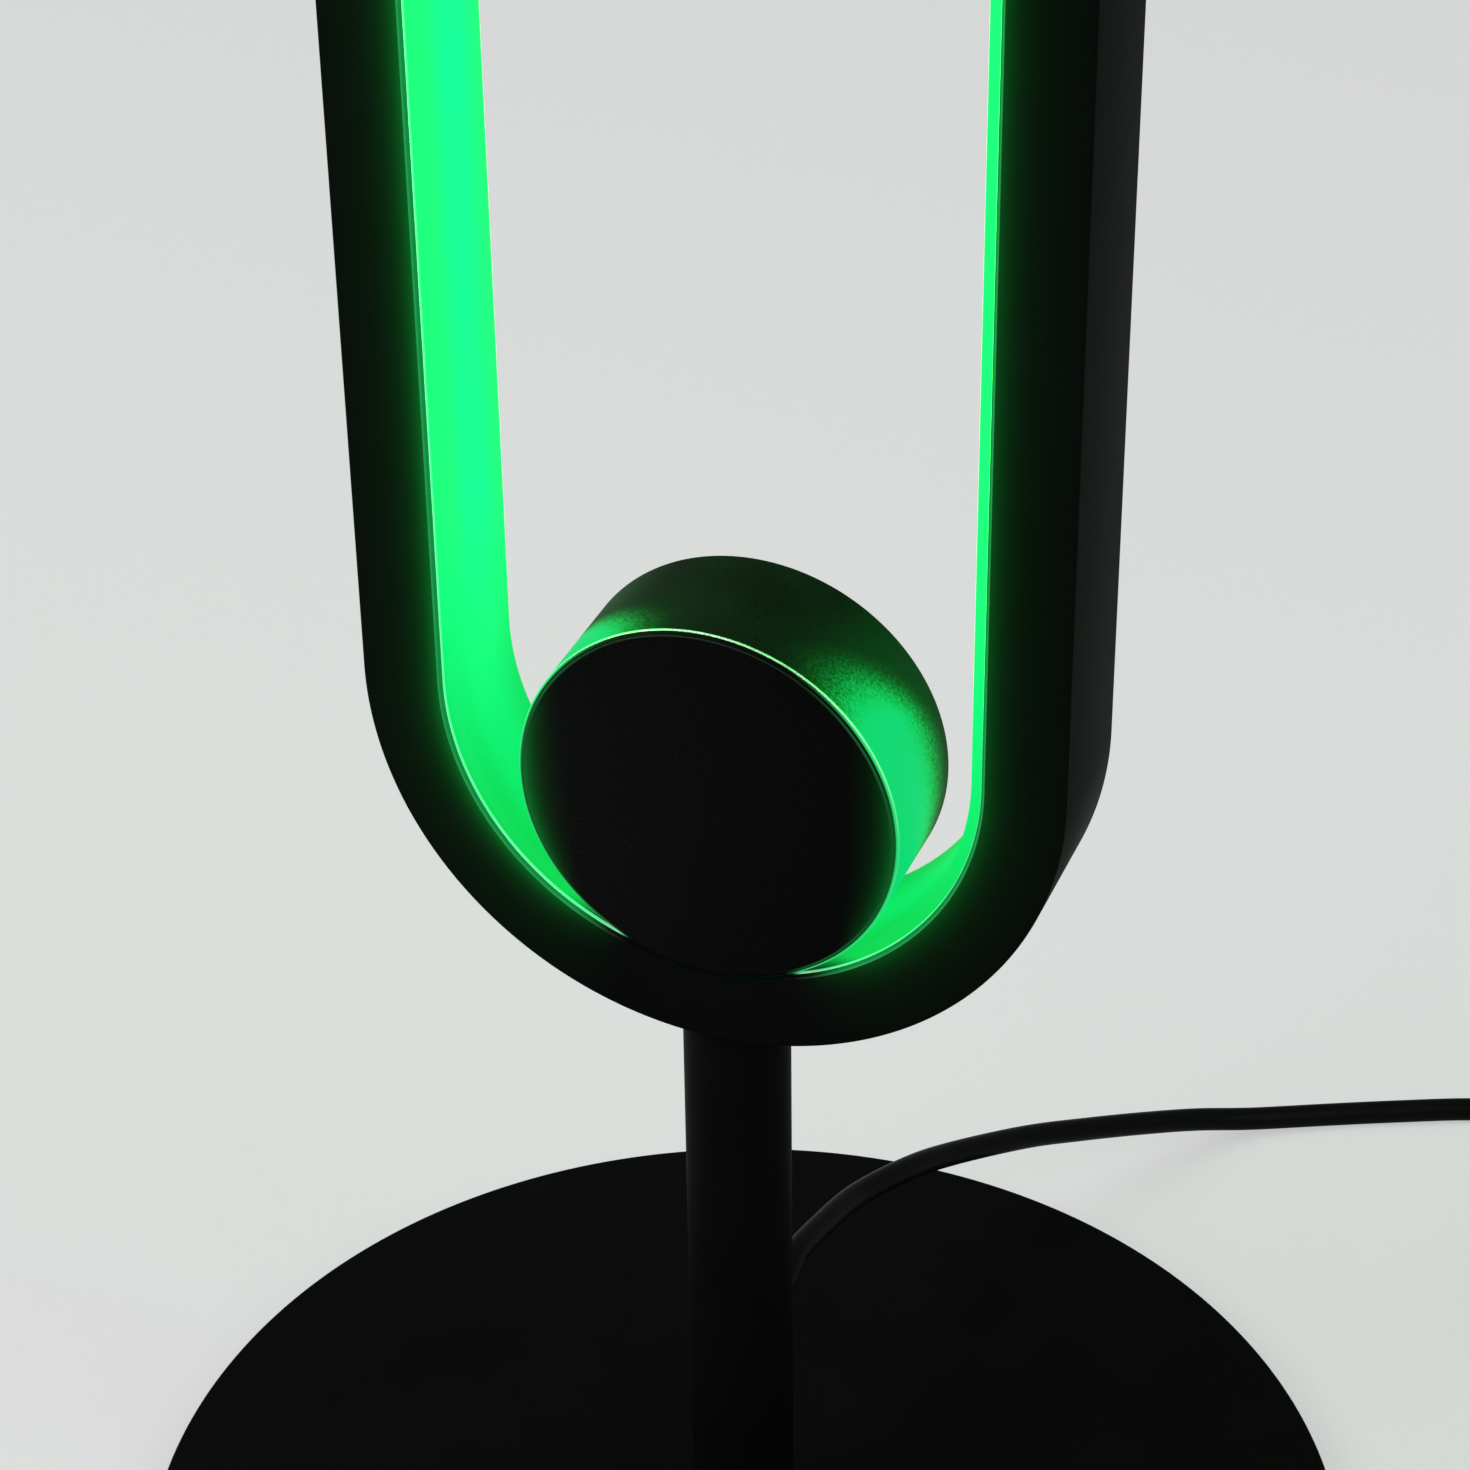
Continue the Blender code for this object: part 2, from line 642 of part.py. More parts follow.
def drum_housing():
    """The cast cup, with bosses for the cover's screws and the board's, and the nut that holds it down."""
    inside = DRUM_FRONT - DRUM_WALL
    back = -DRUM_BACK
    bore = NIPPLE_RADIUS + BORE_CLEARANCE
    housing = turned(
        "drum_housing",
        [
            (0.0, DRUM_FRONT),
            (DRUM_RADIUS - DRUM_EDGE, DRUM_FRONT),
            (DRUM_RADIUS, DRUM_FRONT - DRUM_EDGE),
            (DRUM_RADIUS, back),
            (DRUM_INNER_RADIUS, back),
            (DRUM_INNER_RADIUS, inside),
            (0.0, inside),
        ],
        BLACK_COAT,
        DRUM,
    )
    rooted = inside + DRUM_WALL / 2
    for name, radius, circle, low in (
        ("cover_boss", BOSS_RADIUS, BOSS_CIRCLE, back + COVER_THICKNESS + FIT_GAP),
        ("board_boss", STANDOFF_RADIUS, STANDOFF_CIRCLE, inside - BOARD_STANDOFF),
    ):
        for index, at in enumerate(around(circle, 90)):
            place = (None, DRUM, at, SCREW_STEPS)
            combine(housing, cylinder(f"{name}_{index}", radius, low, rooted, *place), "UNION")
            combine(housing, cylinder(f"{name}_pilot_{index}", PILOT_RADIUS, low - OVERRUN, inside, *place))
    low = LOOP_BOTTOM + CHANNEL_HEIGHT / 2
    high = DRUM_HEIGHT - DRUM_RADIUS / 2
    for name, radius, x in (
        ("housing_nipple_hole", bore, 0.0),
        ("housing_lead_hole", STRIP_LEAD_RADIUS * 3 / 2, STRIP_LEAD_X),
    ):
        combine(housing, cylinder(name, radius, low, high, at=(x, 0.0), sides=SMALL_STEPS))
    seat = DRUM_HEIGHT - math.sqrt(DRUM_INNER_RADIUS**2 - NUT_RADIUS**2) + FIT_GAP
    top = seat + NUT_HEIGHT
    nut = cylinder("nipple_nut", NUT_RADIUS, seat, top, BRASS, sides=6, turn=math.pi / 2)
    combine(nut, cylinder("nut_bore", bore, seat - OVERRUN, top + OVERRUN, sides=SMALL_STEPS))


def screw(name, tip, head_inside, head_outside, at, parent):
    """A screw along its parent's Z: heights of its tip and of its head's two faces, the outer one lowest."""
    profile = [
        (0.0, tip),
        (SCREW_RADIUS, tip),
        (SCREW_RADIUS, head_inside),
        (SCREW_HEAD_RADIUS, head_inside),
        (SCREW_HEAD_RADIUS, head_outside),
        (0.0, head_outside),
    ]
    return turned(name, profile, ZINC, parent, steps=SCREW_STEPS, place=(*at, 0.0))


def drum_cover():
    """The back cover and its three screws, with their heads let in."""
    outside = -DRUM_BACK
    inside = outside + COVER_THICKNESS
    head = outside + SCREW_HEAD_HEIGHT
    cover = turned(
        "drum_cover",
        [
            (0.0, inside),
            (DRUM_INNER_RADIUS - FIT_GAP, inside),
            (DRUM_INNER_RADIUS - FIT_GAP, outside),
            (0.0, outside),
        ],
        BLACK_COAT,
        DRUM,
    )
    sink = SCREW_HEAD_RADIUS + BORE_CLEARANCE
    for index, at in enumerate(around(BOSS_CIRCLE, 90)):
        screw(f"cover_screw_{index + 1}", outside + SCREW_LENGTH, head, outside, at, DRUM)
        for cutter, radius, low, high in (
            ("head_sink", sink, outside - OVERRUN, head + FIT_GAP),
            ("cover_hole", PILOT_RADIUS, outside, inside + OVERRUN),
        ):
            combine(cover, cylinder(f"{cutter}_{index}", radius, low, high, None, DRUM, at, SCREW_STEPS))


def driver_pieces():
    """The driver board on its bosses inside the drum, with its screws, parts and terminal block."""
    front = DRUM_FRONT - DRUM_WALL - BOARD_STANDOFF - FIT_GAP
    back = front - BOARD_THICKNESS
    head_inside = back - FIT_GAP
    head_outside = head_inside - SCREW_HEAD_HEIGHT
    board = cylinder("driver_board", BOARD_RADIUS, back, front, BOARD_GREEN, DRUM)
    tip = head_outside + BOARD_SCREW_LENGTH
    low, high = back - OVERRUN, front + OVERRUN
    for index, at in enumerate(around(STANDOFF_CIRCLE, 90)):
        screw(f"board_screw_{index + 1}", tip, head_inside, head_outside, at, DRUM)
        combine(board, cylinder(f"board_hole_{index}", PILOT_RADIUS, low, high, None, DRUM, at, SCREW_STEPS))
    seat = back - FIT_GAP
    for name, centre_shares, half_shares, height in (
        ("driver_transformer", (-0.31, 0.2), (0.24, 0.25), TRANSFORMER_HEIGHT),
        ("driver_capacitor", (0.38, 0.12), (0.23, 0.17), CAPACITOR_HEIGHT),
        ("driver_chip", (0.35, 0.52), (0.15, 0.09), DRIVER_CHIP_HEIGHT),
    ):
        x, y = (share * BOARD_RADIUS for share in centre_shares)
        wide, tall = (share * BOARD_RADIUS for share in half_shares)
        box(name, (x - wide, y - tall, seat - height), (x + wide, y + tall, seat), PART_GREY, DRUM)
    half = TERMINAL_WIDTH / 2
    bottom = -TERMINAL_DROP - TERMINAL_HEIGHT
    block_low = (-half, bottom, seat - TERMINAL_DEPTH)
    box("terminal_block", block_low, (half, -TERMINAL_DROP, seat), LEAD_WHITE, DRUM)
    return seat - TERMINAL_DEPTH / 2, DRUM_HEIGHT + bottom


def inner_leads(block_depth, block_bottom):
    """The cord's cores up the stem to the terminal block, and the lead from there to the light strip."""
    end = block_bottom - FIT_GAP
    straight = LEAD_RADIUS * 2
    lead_top = LOOP_BOTTOM + CHANNEL_HEIGHT + NIPPLE_ABOVE
    start = BUSH_INSIDE - STEM_RADIUS + FIT_GAP
    route = [
        (0.0, -start, EXIT_HEIGHT),
        (0.0, -start - LEAD_RADIUS, EXIT_HEIGHT + LEAD_RADIUS / 4),
        (0.0, -start - LEAD_RADIUS * 2, EXIT_HEIGHT + LEAD_RADIUS * 3 / 2),
        (0.0, 0.0, EXIT_HEIGHT + LEAD_RADIUS * 5),
        (0.0, 0.0, (EXIT_HEIGHT + LOOP_BOTTOM) / 2),
        (0.0, 0.0, LOOP_BOTTOM - NIPPLE_BELOW),
        (0.0, 0.0, lead_top),
        (-CORE_SPREAD, -block_depth, end - straight),
        (-CORE_SPREAD, -block_depth, end),
    ]
    tube("inner_lead", smooth_points(route, LEAD_RADIUS * 4), LEAD_RADIUS, LEAD_WHITE)
    radius = STRIP_INSIDE - FIT_GAP - STRIP_LEAD_RADIUS
    x = STRIP_LEAD_X
    far, near = STRIP_END + STRIP_LEAD_RADIUS * 2, STRIP_END - STRIP_LEAD_RADIUS
    web = LOW_ARC - math.sqrt(radius**2 - x**2)
    route = [
        (far, 0.0, LOW_ARC - math.sqrt(radius**2 - far**2)),
        (near, 0.0, LOW_ARC - math.sqrt(radius**2 - near**2)),
        (x + STRIP_LEAD_RADIUS, 0.0, web + STRIP_LEAD_RADIUS),
        (x, 0.0, web + STRIP_LEAD_RADIUS * 4),
        (x, 0.0, LOOP_BOTTOM + CHANNEL_HEIGHT),
        (x, 0.0, lead_top),
        (CORE_SPREAD, -block_depth, end - straight),
        (CORE_SPREAD, -block_depth, end),
    ]
    tube("strip_lead", smooth_points(route, STRIP_LEAD_RADIUS * 4), STRIP_LEAD_RADIUS, LEAD_WHITE)


def cord_bush():
    """The strain relief: a shoulder and taper outside the stem, and a neck through its wall."""
    back = anchor("bush_axis", (0.0, 0.0, EXIT_HEIGHT), -math.pi / 2)
    end = STEM_RADIUS + BUSH_OUTSIDE
    bush = turned(
        "cord_bush",
        [
            (0.0, end),
            (BUSH_TIP_RADIUS, end),
            (BUSH_SHOULDER_RADIUS, STEM_RADIUS + BUSH_SHOULDER),
            (BUSH_SHOULDER_RADIUS, STEM_RADIUS / 2),
            (0.0, STEM_RADIUS / 2),
        ],
        BLACK_RUBBER,
        back,
        steps=SMALL_STEPS,
    )
    inside = STEM_RADIUS - BUSH_INSIDE
    below, above = EXIT_HEIGHT / 2, EXIT_HEIGHT * 3 / 2
    combine(bush, cylinder("bush_seat", STEM_RADIUS + FIT_GAP, below, above, sides=COPE_STEPS))
    shoulder = STEM_RADIUS + BUSH_SHOULDER
    neck = cylinder("bush_neck", NECK_RADIUS, inside, shoulder, None, back, sides=SMALL_STEPS)
    combine(bush, neck, "UNION")
    bore = CORD_RADIUS + BORE_CLEARANCE
    low, high = inside - OVERRUN, end + OVERRUN
    combine(bush, cylinder("bush_bore", bore, low, high, None, back, sides=SMALL_STEPS))


def stadium(name, half_width, half_length, low, high, finish=None, edge=0.0):
    """An upright block with round ends, long in Y, standing in the switch's place."""
    radius = half_width
    straight = half_length - radius
    steps = 12
    bm = bmesh.new()
    rim = []
    for side, centre in ((0.0, straight), (math.pi, -straight)):
        for index in range(steps + 1):
            angle = side + math.pi * index / steps
            rim.append(bm.verts.new((radius * math.cos(angle), centre + radius * math.sin(angle), low)))
    face = bm.faces.new(rim)
    grown = bmesh.ops.extrude_face_region(bm, geom=[face])
    moved = [item for item in grown["geom"] if isinstance(item, bmesh.types.BMVert)]
    bmesh.ops.translate(bm, verts=moved, vec=(0.0, 0.0, high - low))
    bmesh.ops.recalc_face_normals(bm, faces=bm.faces)
    if edge:
        rims = [item for item in bm.edges if all(corner.co.z > (low + high) / 2 for corner in item.verts)]
        bmesh.ops.bevel(bm, geom=rims, offset=edge, segments=2, profile=0.5, affect="EDGES")
    return add_object(name, mesh_from(name, bm), finish, SWITCH)


def foot_switch():
    """Two shells, the button with its spring, the contact block and two screws."""
    bottom = FIT_GAP
    parting = bottom + SWITCH_LOWER
    cover_low = parting + FIT_GAP
    top = cover_low + SWITCH_UPPER
    roof = top - SWITCH_WALL
    floor = bottom + SWITCH_FLOOR
    wide, long = SWITCH_HALF_WIDTH, SWITCH_HALF_LENGTH
    in_width = wide - SWITCH_WALL
    in_length = long - SWITCH_WALL
    lower = stadium("switch_base", wide, long, bottom, parting, BLACK_PLASTIC)
    combine(lower, stadium("base_hollow", in_width, in_length, floor, parting + OVERRUN))
    upper = stadium("switch_cover", wide, long, cover_low, top, BLACK_PLASTIC, SWITCH_EDGE)
    hollow = stadium("cover_hollow", in_width, in_length, cover_low - OVERRUN, roof, edge=SWITCH_EDGE / 2)
    combine(upper, hollow)
    head_top = bottom + SWITCH_FLOOR / 2
    sink = SCREW_HEAD_RADIUS + BORE_CLEARANCE
    boss_low = floor + FIT_GAP
    for index, at in enumerate([(SWITCH_BOSS_X, SWITCH_BOSS_Y), (-SWITCH_BOSS_X, -SWITCH_BOSS_Y)]):
        screw(f"switch_screw_{index + 1}", bottom + SCREW_LENGTH, head_top - FIT_GAP, bottom, at, SWITCH)
        for shell, cutter, radius, low, high, operation in (
            (upper, "switch_boss", BOSS_RADIUS, boss_low, roof + SWITCH_WALL / 2, "UNION"),
            (upper, "switch_pilot", PILOT_RADIUS, floor, roof - SWITCH_WALL, "DIFFERENCE"),
            (lower, "base_sink", sink, bottom - OVERRUN, head_top, "DIFFERENCE"),
            (lower, "base_hole", PILOT_RADIUS, bottom, floor + OVERRUN, "DIFFERENCE"),
        ):
            other = cylinder(f"{cutter}_{index}", radius, low, high, None, SWITCH, at, SCREW_STEPS)
            combine(shell, other, operation)
    entry_radius = CORD_RADIUS + BORE_CLEARANCE
    entry = anchor("cord_entry", (SWITCH_X, SWITCH_Y, CORD_ENTRY_HEIGHT), math.pi / 2)
    for name, low, high in (
        ("near_entry", in_length - OVERRUN, long + OVERRUN),
        ("far_entry", -long - OVERRUN, OVERRUN - in_length),
    ):
        passage = cylinder(name, entry_radius, low, high, None, entry, sides=SMALL_STEPS)
        combine(lower, passage)
        combine(upper, passage)
    hole_radius = BUTTON_RADIUS + BUTTON_CLEARANCE
    combine(upper, cylinder("button_hole", hole_radius, roof - OVERRUN, top + OVERRUN, None, SWITCH))
    contact_low = floor + FIT_GAP
    contact_top = contact_low + CONTACT_HEIGHT
    box(
        "switch_contact",
        (-CONTACT_WIDTH / 2, -CONTACT_LENGTH / 2, contact_low),
        (CONTACT_WIDTH / 2, CONTACT_LENGTH / 2, contact_top),
        PART_GREY,
        SWITCH,
    )
    button_pieces(contact_top, roof, top)


def button_pieces(contact_top, roof, top):
    """The button, held under the cover by its flange, and the spring in its pocket."""
    flange_top = roof - FIT_GAP
    crown = top + BUTTON_RISE
    pocket_top = crown - SWITCH_WALL
    turned(
        "switch_button",
        [
            (0.0, crown),
            (BUTTON_RADIUS - BUTTON_EDGE, crown),
            (BUTTON_RADIUS, crown - BUTTON_EDGE),
            (BUTTON_RADIUS, flange_top),
            (FLANGE_RADIUS, flange_top),
            (FLANGE_RADIUS, flange_top - FLANGE_THICKNESS),
            (SPRING_POCKET, flange_top - FLANGE_THICKNESS),
            (SPRING_POCKET, pocket_top),
            (0.0, pocket_top),
        ],
        BLACK_PLASTIC,
        SWITCH,
        steps=TUBE_STEPS,
    )
    low = contact_top + FIT_GAP + SPRING_WIRE
    high = pocket_top - FIT_GAP - SPRING_WIRE
    count = SPRING_TURNS * SPRING_STEPS
    points = []
    for index in range(count + 1):
        angle = 2 * math.pi * index / SPRING_STEPS
        rise = low + (high - low) * index / count
        x = SWITCH_X + SPRING_RADIUS * math.cos(angle)
        points.append((x, SWITCH_Y + SPRING_RADIUS * math.sin(angle), rise))
    tube("switch_spring", points, SPRING_WIRE, ZINC, 1)


def coil_radius(turned_angle):
    """The spiral's radius: in at a steady rate to the inner radius, then out again."""
    total = 2 * math.pi * COIL_TURNS_EACH_WAY
    return COIL_INNER_RADIUS + COIL_PITCH * abs(total - turned_angle) / (2 * math.pi)


COIL_OUTER_RADIUS = COIL_INNER_RADIUS + COIL_PITCH * COIL_TURNS_EACH_WAY
COIL_X = SWITCH_X + COIL_OUTER_RADIUS
COIL_Y = SWITCH_Y - SWITCH_HALF_LENGTH - FIT_GAP - COIL_RUN_IN - CORD_RADIUS
COIL_LOW = FIT_GAP + TIE_THICKNESS + TIE_SLACK / 2 + CORD_RADIUS
COIL_HIGH = COIL_LOW + COIL_PITCH


def coil_points():
    """The spare cord: it winds in on the floor, climbs in the half turn where it reverses, and winds out."""
    count = round(2 * COIL_TURNS_EACH_WAY * COIL_POINTS_PER_TURN)
    half_way = 2 * math.pi * COIL_TURNS_EACH_WAY
    points = []
    for index in range(count + 1):
        angle = 2 * half_way * index / count
        climb = min(1.0, max(0.0, (angle - half_way) / math.pi + 1 / 2))
        height = COIL_LOW + (COIL_HIGH - COIL_LOW) * climb
        radius = coil_radius(angle)
        x = COIL_X - radius * math.cos(angle)
        points.append(Vector((x, COIL_Y - radius * math.sin(angle), height)))
    start, end = points[0], points[-1]
    leave = Vector((0.0, CORD_RADIUS * 2, 0.0))
    entry = Vector((start.x, SWITCH_Y - SWITCH_HALF_LENGTH - FIT_GAP, CORD_ENTRY_HEIGHT))
    return [entry, entry - leave, *points, end + leave]


def print_least_gap(points):
    """Measures the wound stretch's least distance to itself, less its own thickness, and prints it."""
    least = None
    for first in range(len(points) - 1):
        for second in range(first + COIL_POINTS_PER_TURN // 2, len(points) - 1):
            for place in (points[second], (points[second] + points[second + 1]) / 2):
                apart = (place - points[first]).length
                least = apart if least is None else min(least, apart)
    print(f"coil: least gap to itself {1000 * (least - 2 * CORD_RADIUS):.2f} mm")


def cord_pieces():
    near_end = SWITCH_Y + SWITCH_HALF_LENGTH + FIT_GAP
    route = [
        (0.0, STEM_RADIUS - BUSH_INSIDE + FIT_GAP, EXIT_HEIGHT),
        (0.0, STEM_RADIUS + BUSH_OUTSIDE, EXIT_HEIGHT),
        *LEAD_ROUTE,
        (SWITCH_X, near_end + CORD_RADIUS * 2, CORD_ENTRY_HEIGHT),
        (SWITCH_X, near_end, CORD_ENTRY_HEIGHT),
    ]
    tube("cord_lead", smooth_points(route, CORD_STEP), CORD_RADIUS, BLACK_RUBBER)
    wound = coil_points()
    print_least_gap(wound)
    tube("cord_coil", wound, CORD_RADIUS, BLACK_RUBBER, 1)
    start = wound[-1] + Vector((0.0, FIT_GAP, 0.0))
    plug_height = FIT_GAP + PLUG_FACE_HALF_HEIGHT
    plug_x, last_y, _ = TAIL_ROUTE[-1]
    plug_y = last_y + CORD_RADIUS * 2
    tail = [start, start + Vector((0.0, CORD_RADIUS * 2, 0.0)), *TAIL_ROUTE, (plug_x, plug_y, plug_height)]
    tube("cord_tail", smooth_points(tail, CORD_STEP / 2), CORD_RADIUS, BLACK_RUBBER)
    plug_pieces(plug_x, plug_y + FIT_GAP, plug_height)


def coil_tie():
    """A flat strap round the coil's bundle, on the side away from the switch."""
    near = COIL_INNER_RADIUS + COIL_PITCH / 2 - CORD_RADIUS - TIE_SLACK
    far = COIL_OUTER_RADIUS - COIL_PITCH / 4 + CORD_RADIUS + TIE_SLACK / 2
    low = COIL_LOW - CORD_RADIUS - TIE_SLACK / 2
    high = COIL_HIGH + CORD_RADIUS + TIE_SLACK / 2
    wide = TIE_WIDTH / 2
    thick = TIE_THICKNESS
    tie = box(
        "coil_tie",
        (COIL_X - wide, COIL_Y - far - thick, low - thick),
        (COIL_X + wide, COIL_Y - near + thick, high + thick),
        BLACK_RUBBER,
    )
    wider = wide + OVERRUN
    hollow = box("tie_hollow", (COIL_X - wider, COIL_Y - far, low), (COIL_X + wider, COIL_Y - near, high))
    combine(tie, hollow)


def plug_pieces(x, y, height):
    """A flat two-pin plug that tapers towards its cord, and its pins."""
    bm = bmesh.new()
    bmesh.ops.create_cube(bm, size=1.0)
    for corner in bm.verts:
        face = corner.co.y > 0
        wide = PLUG_FACE_HALF_WIDTH if face else PLUG_TAIL_HALF_WIDTH
        tall = PLUG_FACE_HALF_HEIGHT if face else PLUG_TAIL_HALF_HEIGHT
        along = PLUG_LENGTH if face else 0.0
        corner.co = (math.copysign(wide, corner.co.x), along, math.copysign(tall, corner.co.z))
    body = add_object("plug_body", mesh_from("plug_body", bm), BLACK_PLASTIC, None, (x, y, height))
    round_edges(body, PLUG_EDGE)
    face = anchor("plug_face", (x, y + PLUG_LENGTH + FIT_GAP, height), -math.pi / 2)
    for index, side in enumerate((-1, 1)):
        turned(
            f"plug_pin_{index + 1}",
            [
                (0.0, PIN_LENGTH),
                (PIN_RADIUS / 2, PIN_LENGTH),
                (PIN_RADIUS, PIN_LENGTH - PIN_RADIUS / 2),
                (PIN_RADIUS, 0.0),
                (0.0, 0.0),
            ],
            ZINC,
            face,
            steps=SCREW_STEPS,
            place=(side * PIN_SPREAD, 0.0, 0.0),
        )


def shade_round_pieces():
    for thing in LAMP.objects:
        if thing.type == "MESH":
            thing.data.shade_smooth()
            thing.data.set_sharp_from_angle(angle=SHARP_ANGLE)


def build():
    base_pieces()
    stem_pieces()
    loop_pieces()
    led_strip()
    drum_housing()
    drum_cover()
    inner_leads(*driver_pieces())
    cord_bush()
    foot_switch()
    cord_pieces()
    coil_tie()
    shade_round_pieces()


build()
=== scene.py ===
# %% [markdown]
# # A lit loop: dressing a floor lamp in Blender
# The lamp's solid model comes in as a fixed frame, in metres: a tall loop of black channel stands on a
# stem and a round base, a drum in its foot holds the driver, and a frosted strip along its inner side
# glows green. The model has the right sizes but coarse faces and plain finishes. This script lays finer
# surfaces over the pieces that show and gives every piece a finish worked out by nodes.

import math

import bmesh
import bpy
import numpy as np
from mathutils import Matrix, Vector


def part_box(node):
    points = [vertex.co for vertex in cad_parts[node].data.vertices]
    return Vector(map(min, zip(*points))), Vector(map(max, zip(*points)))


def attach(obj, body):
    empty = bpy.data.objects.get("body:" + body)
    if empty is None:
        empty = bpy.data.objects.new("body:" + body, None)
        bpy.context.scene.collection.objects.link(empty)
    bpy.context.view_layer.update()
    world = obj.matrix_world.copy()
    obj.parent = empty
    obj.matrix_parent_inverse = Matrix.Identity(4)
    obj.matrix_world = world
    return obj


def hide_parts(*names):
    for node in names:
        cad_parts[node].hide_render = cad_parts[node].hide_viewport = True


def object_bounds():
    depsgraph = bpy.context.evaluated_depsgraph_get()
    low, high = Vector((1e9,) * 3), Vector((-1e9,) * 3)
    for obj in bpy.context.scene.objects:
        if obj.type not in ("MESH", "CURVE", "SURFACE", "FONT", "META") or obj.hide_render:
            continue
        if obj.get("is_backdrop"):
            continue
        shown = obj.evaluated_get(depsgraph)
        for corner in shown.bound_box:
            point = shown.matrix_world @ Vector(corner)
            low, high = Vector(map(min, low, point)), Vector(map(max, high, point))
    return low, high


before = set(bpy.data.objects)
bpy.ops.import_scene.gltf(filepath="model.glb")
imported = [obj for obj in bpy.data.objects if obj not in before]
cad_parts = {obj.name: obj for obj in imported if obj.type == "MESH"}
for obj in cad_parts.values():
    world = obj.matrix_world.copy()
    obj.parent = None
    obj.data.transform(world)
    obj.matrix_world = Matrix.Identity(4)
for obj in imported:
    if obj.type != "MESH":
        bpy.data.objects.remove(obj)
cad_low, cad_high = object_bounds()
scene = bpy.context.scene
BODY = "lamp"
BUTTON_BODY = "button"
size = cad_high - cad_low
print(f"frame: {len(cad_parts)} nodes, {size.x:.3f} x {size.y:.3f} x {size.z:.3f} m")


def linked(name, data):
    """A new object of the scene, at the origin and unturned."""
    made = bpy.data.objects.new(name, data)
    scene.collection.objects.link(made)
    return made


# %% [markdown]
# The camera comes first. A long lens looks down on the lamp's foot from its front right, so the loop's
# head stays out of the picture. Its place and its three turns were found by fitting the lamp's known
# circles and straight legs to the picture, and the lens follows from its width of view.

# %% Camera
CAMERA_PLACE = (0.27504, -0.68613, 0.72978)
CAMERA_YAW = math.radians(21.810)
CAMERA_DOWN = math.radians(33.114)
CAMERA_ROLL = math.radians(-0.799)
CAMERA_LENS = 98.23
SENSOR_WIDTH = 36.0

view = bpy.data.cameras.new("camera")
view.lens = CAMERA_LENS
view.sensor_width = SENSOR_WIDTH
view.sensor_fit = "HORIZONTAL"
view.clip_start = 0.05
view.clip_end = 50.0
camera = linked("camera", view)

level = Vector((math.cos(CAMERA_YAW), math.sin(CAMERA_YAW), 0.0))
ahead = Vector((-level.y, level.x, 0.0)) * math.cos(CAMERA_DOWN) - Vector((0.0, 0.0, math.sin(CAMERA_DOWN)))
upright = level.cross(ahead)
across = level * math.cos(CAMERA_ROLL) + upright * math.sin(CAMERA_ROLL)
turn = Matrix((across, across.cross(ahead), -ahead)).transposed()
camera.matrix_world = Matrix.Translation(CAMERA_PLACE) @ turn.to_4x4()
scene.camera = camera
print(f"camera: {CAMERA_PLACE[2]:.2f} m up, {math.degrees(CAMERA_DOWN):.1f} degrees down")

# %% [markdown]
# A finish is a small graph of nodes. Two helpers keep it readable. `Value` wraps one socket, so that
# `noise * 0.2 + 0.9` adds the Math nodes by itself. `Finish` makes the material, sets what is the same
# all over on the shader's own sockets, and adds any other node from its type, settings and inputs.


# %% Shader helpers
class Value:
    """One output socket, with Python's arithmetic on numbers."""

    def __init__(self, finish, socket):
        self.finish = finish
        self.socket = socket

    def maths(self, operation, first, second):
        return self.finish.node("ShaderNodeMath", {"operation": operation}, {0: first, 1: second})

    def __add__(self, other):
        return self.maths("ADD", self, other)

    __radd__ = __add__

    def __sub__(self, other):
        return self.maths("SUBTRACT", self, other)

    def __rsub__(self, other):
        return self.maths("SUBTRACT", other, self)

    def __mul__(self, other):
        return self.maths("MULTIPLY", self, other)

    def __rtruediv__(self, other):
        return self.maths("DIVIDE", other, self)

    def __gt__(self, other):
        return self.maths("GREATER_THAN", self, other)

    def __lt__(self, other):
        return self.maths("LESS_THAN", self, other)

    def __abs__(self):
        return self.maths("ABSOLUTE", self, 0.0)

    def root(self):
        return self.maths("SQRT", self, 0.0)

    def at_least(self, other):
        return self.maths("MAXIMUM", self, other)

    def ramp(self, low, high):
        """From 0 at the low value to 1 at the high one, with soft ends."""
        settings = {"interpolation_type": "SMOOTHSTEP"}
        inputs = {"Value": self, "From Min": low, "From Max": high}
        return self.finish.node("ShaderNodeMapRange", settings, inputs)

    def band(self, low, high, soft):
        """1 between two values and 0 outside them, with edges this soft."""
        return self.ramp(low - soft, low + soft) * (1.0 - self.ramp(high - soft, high + soft))


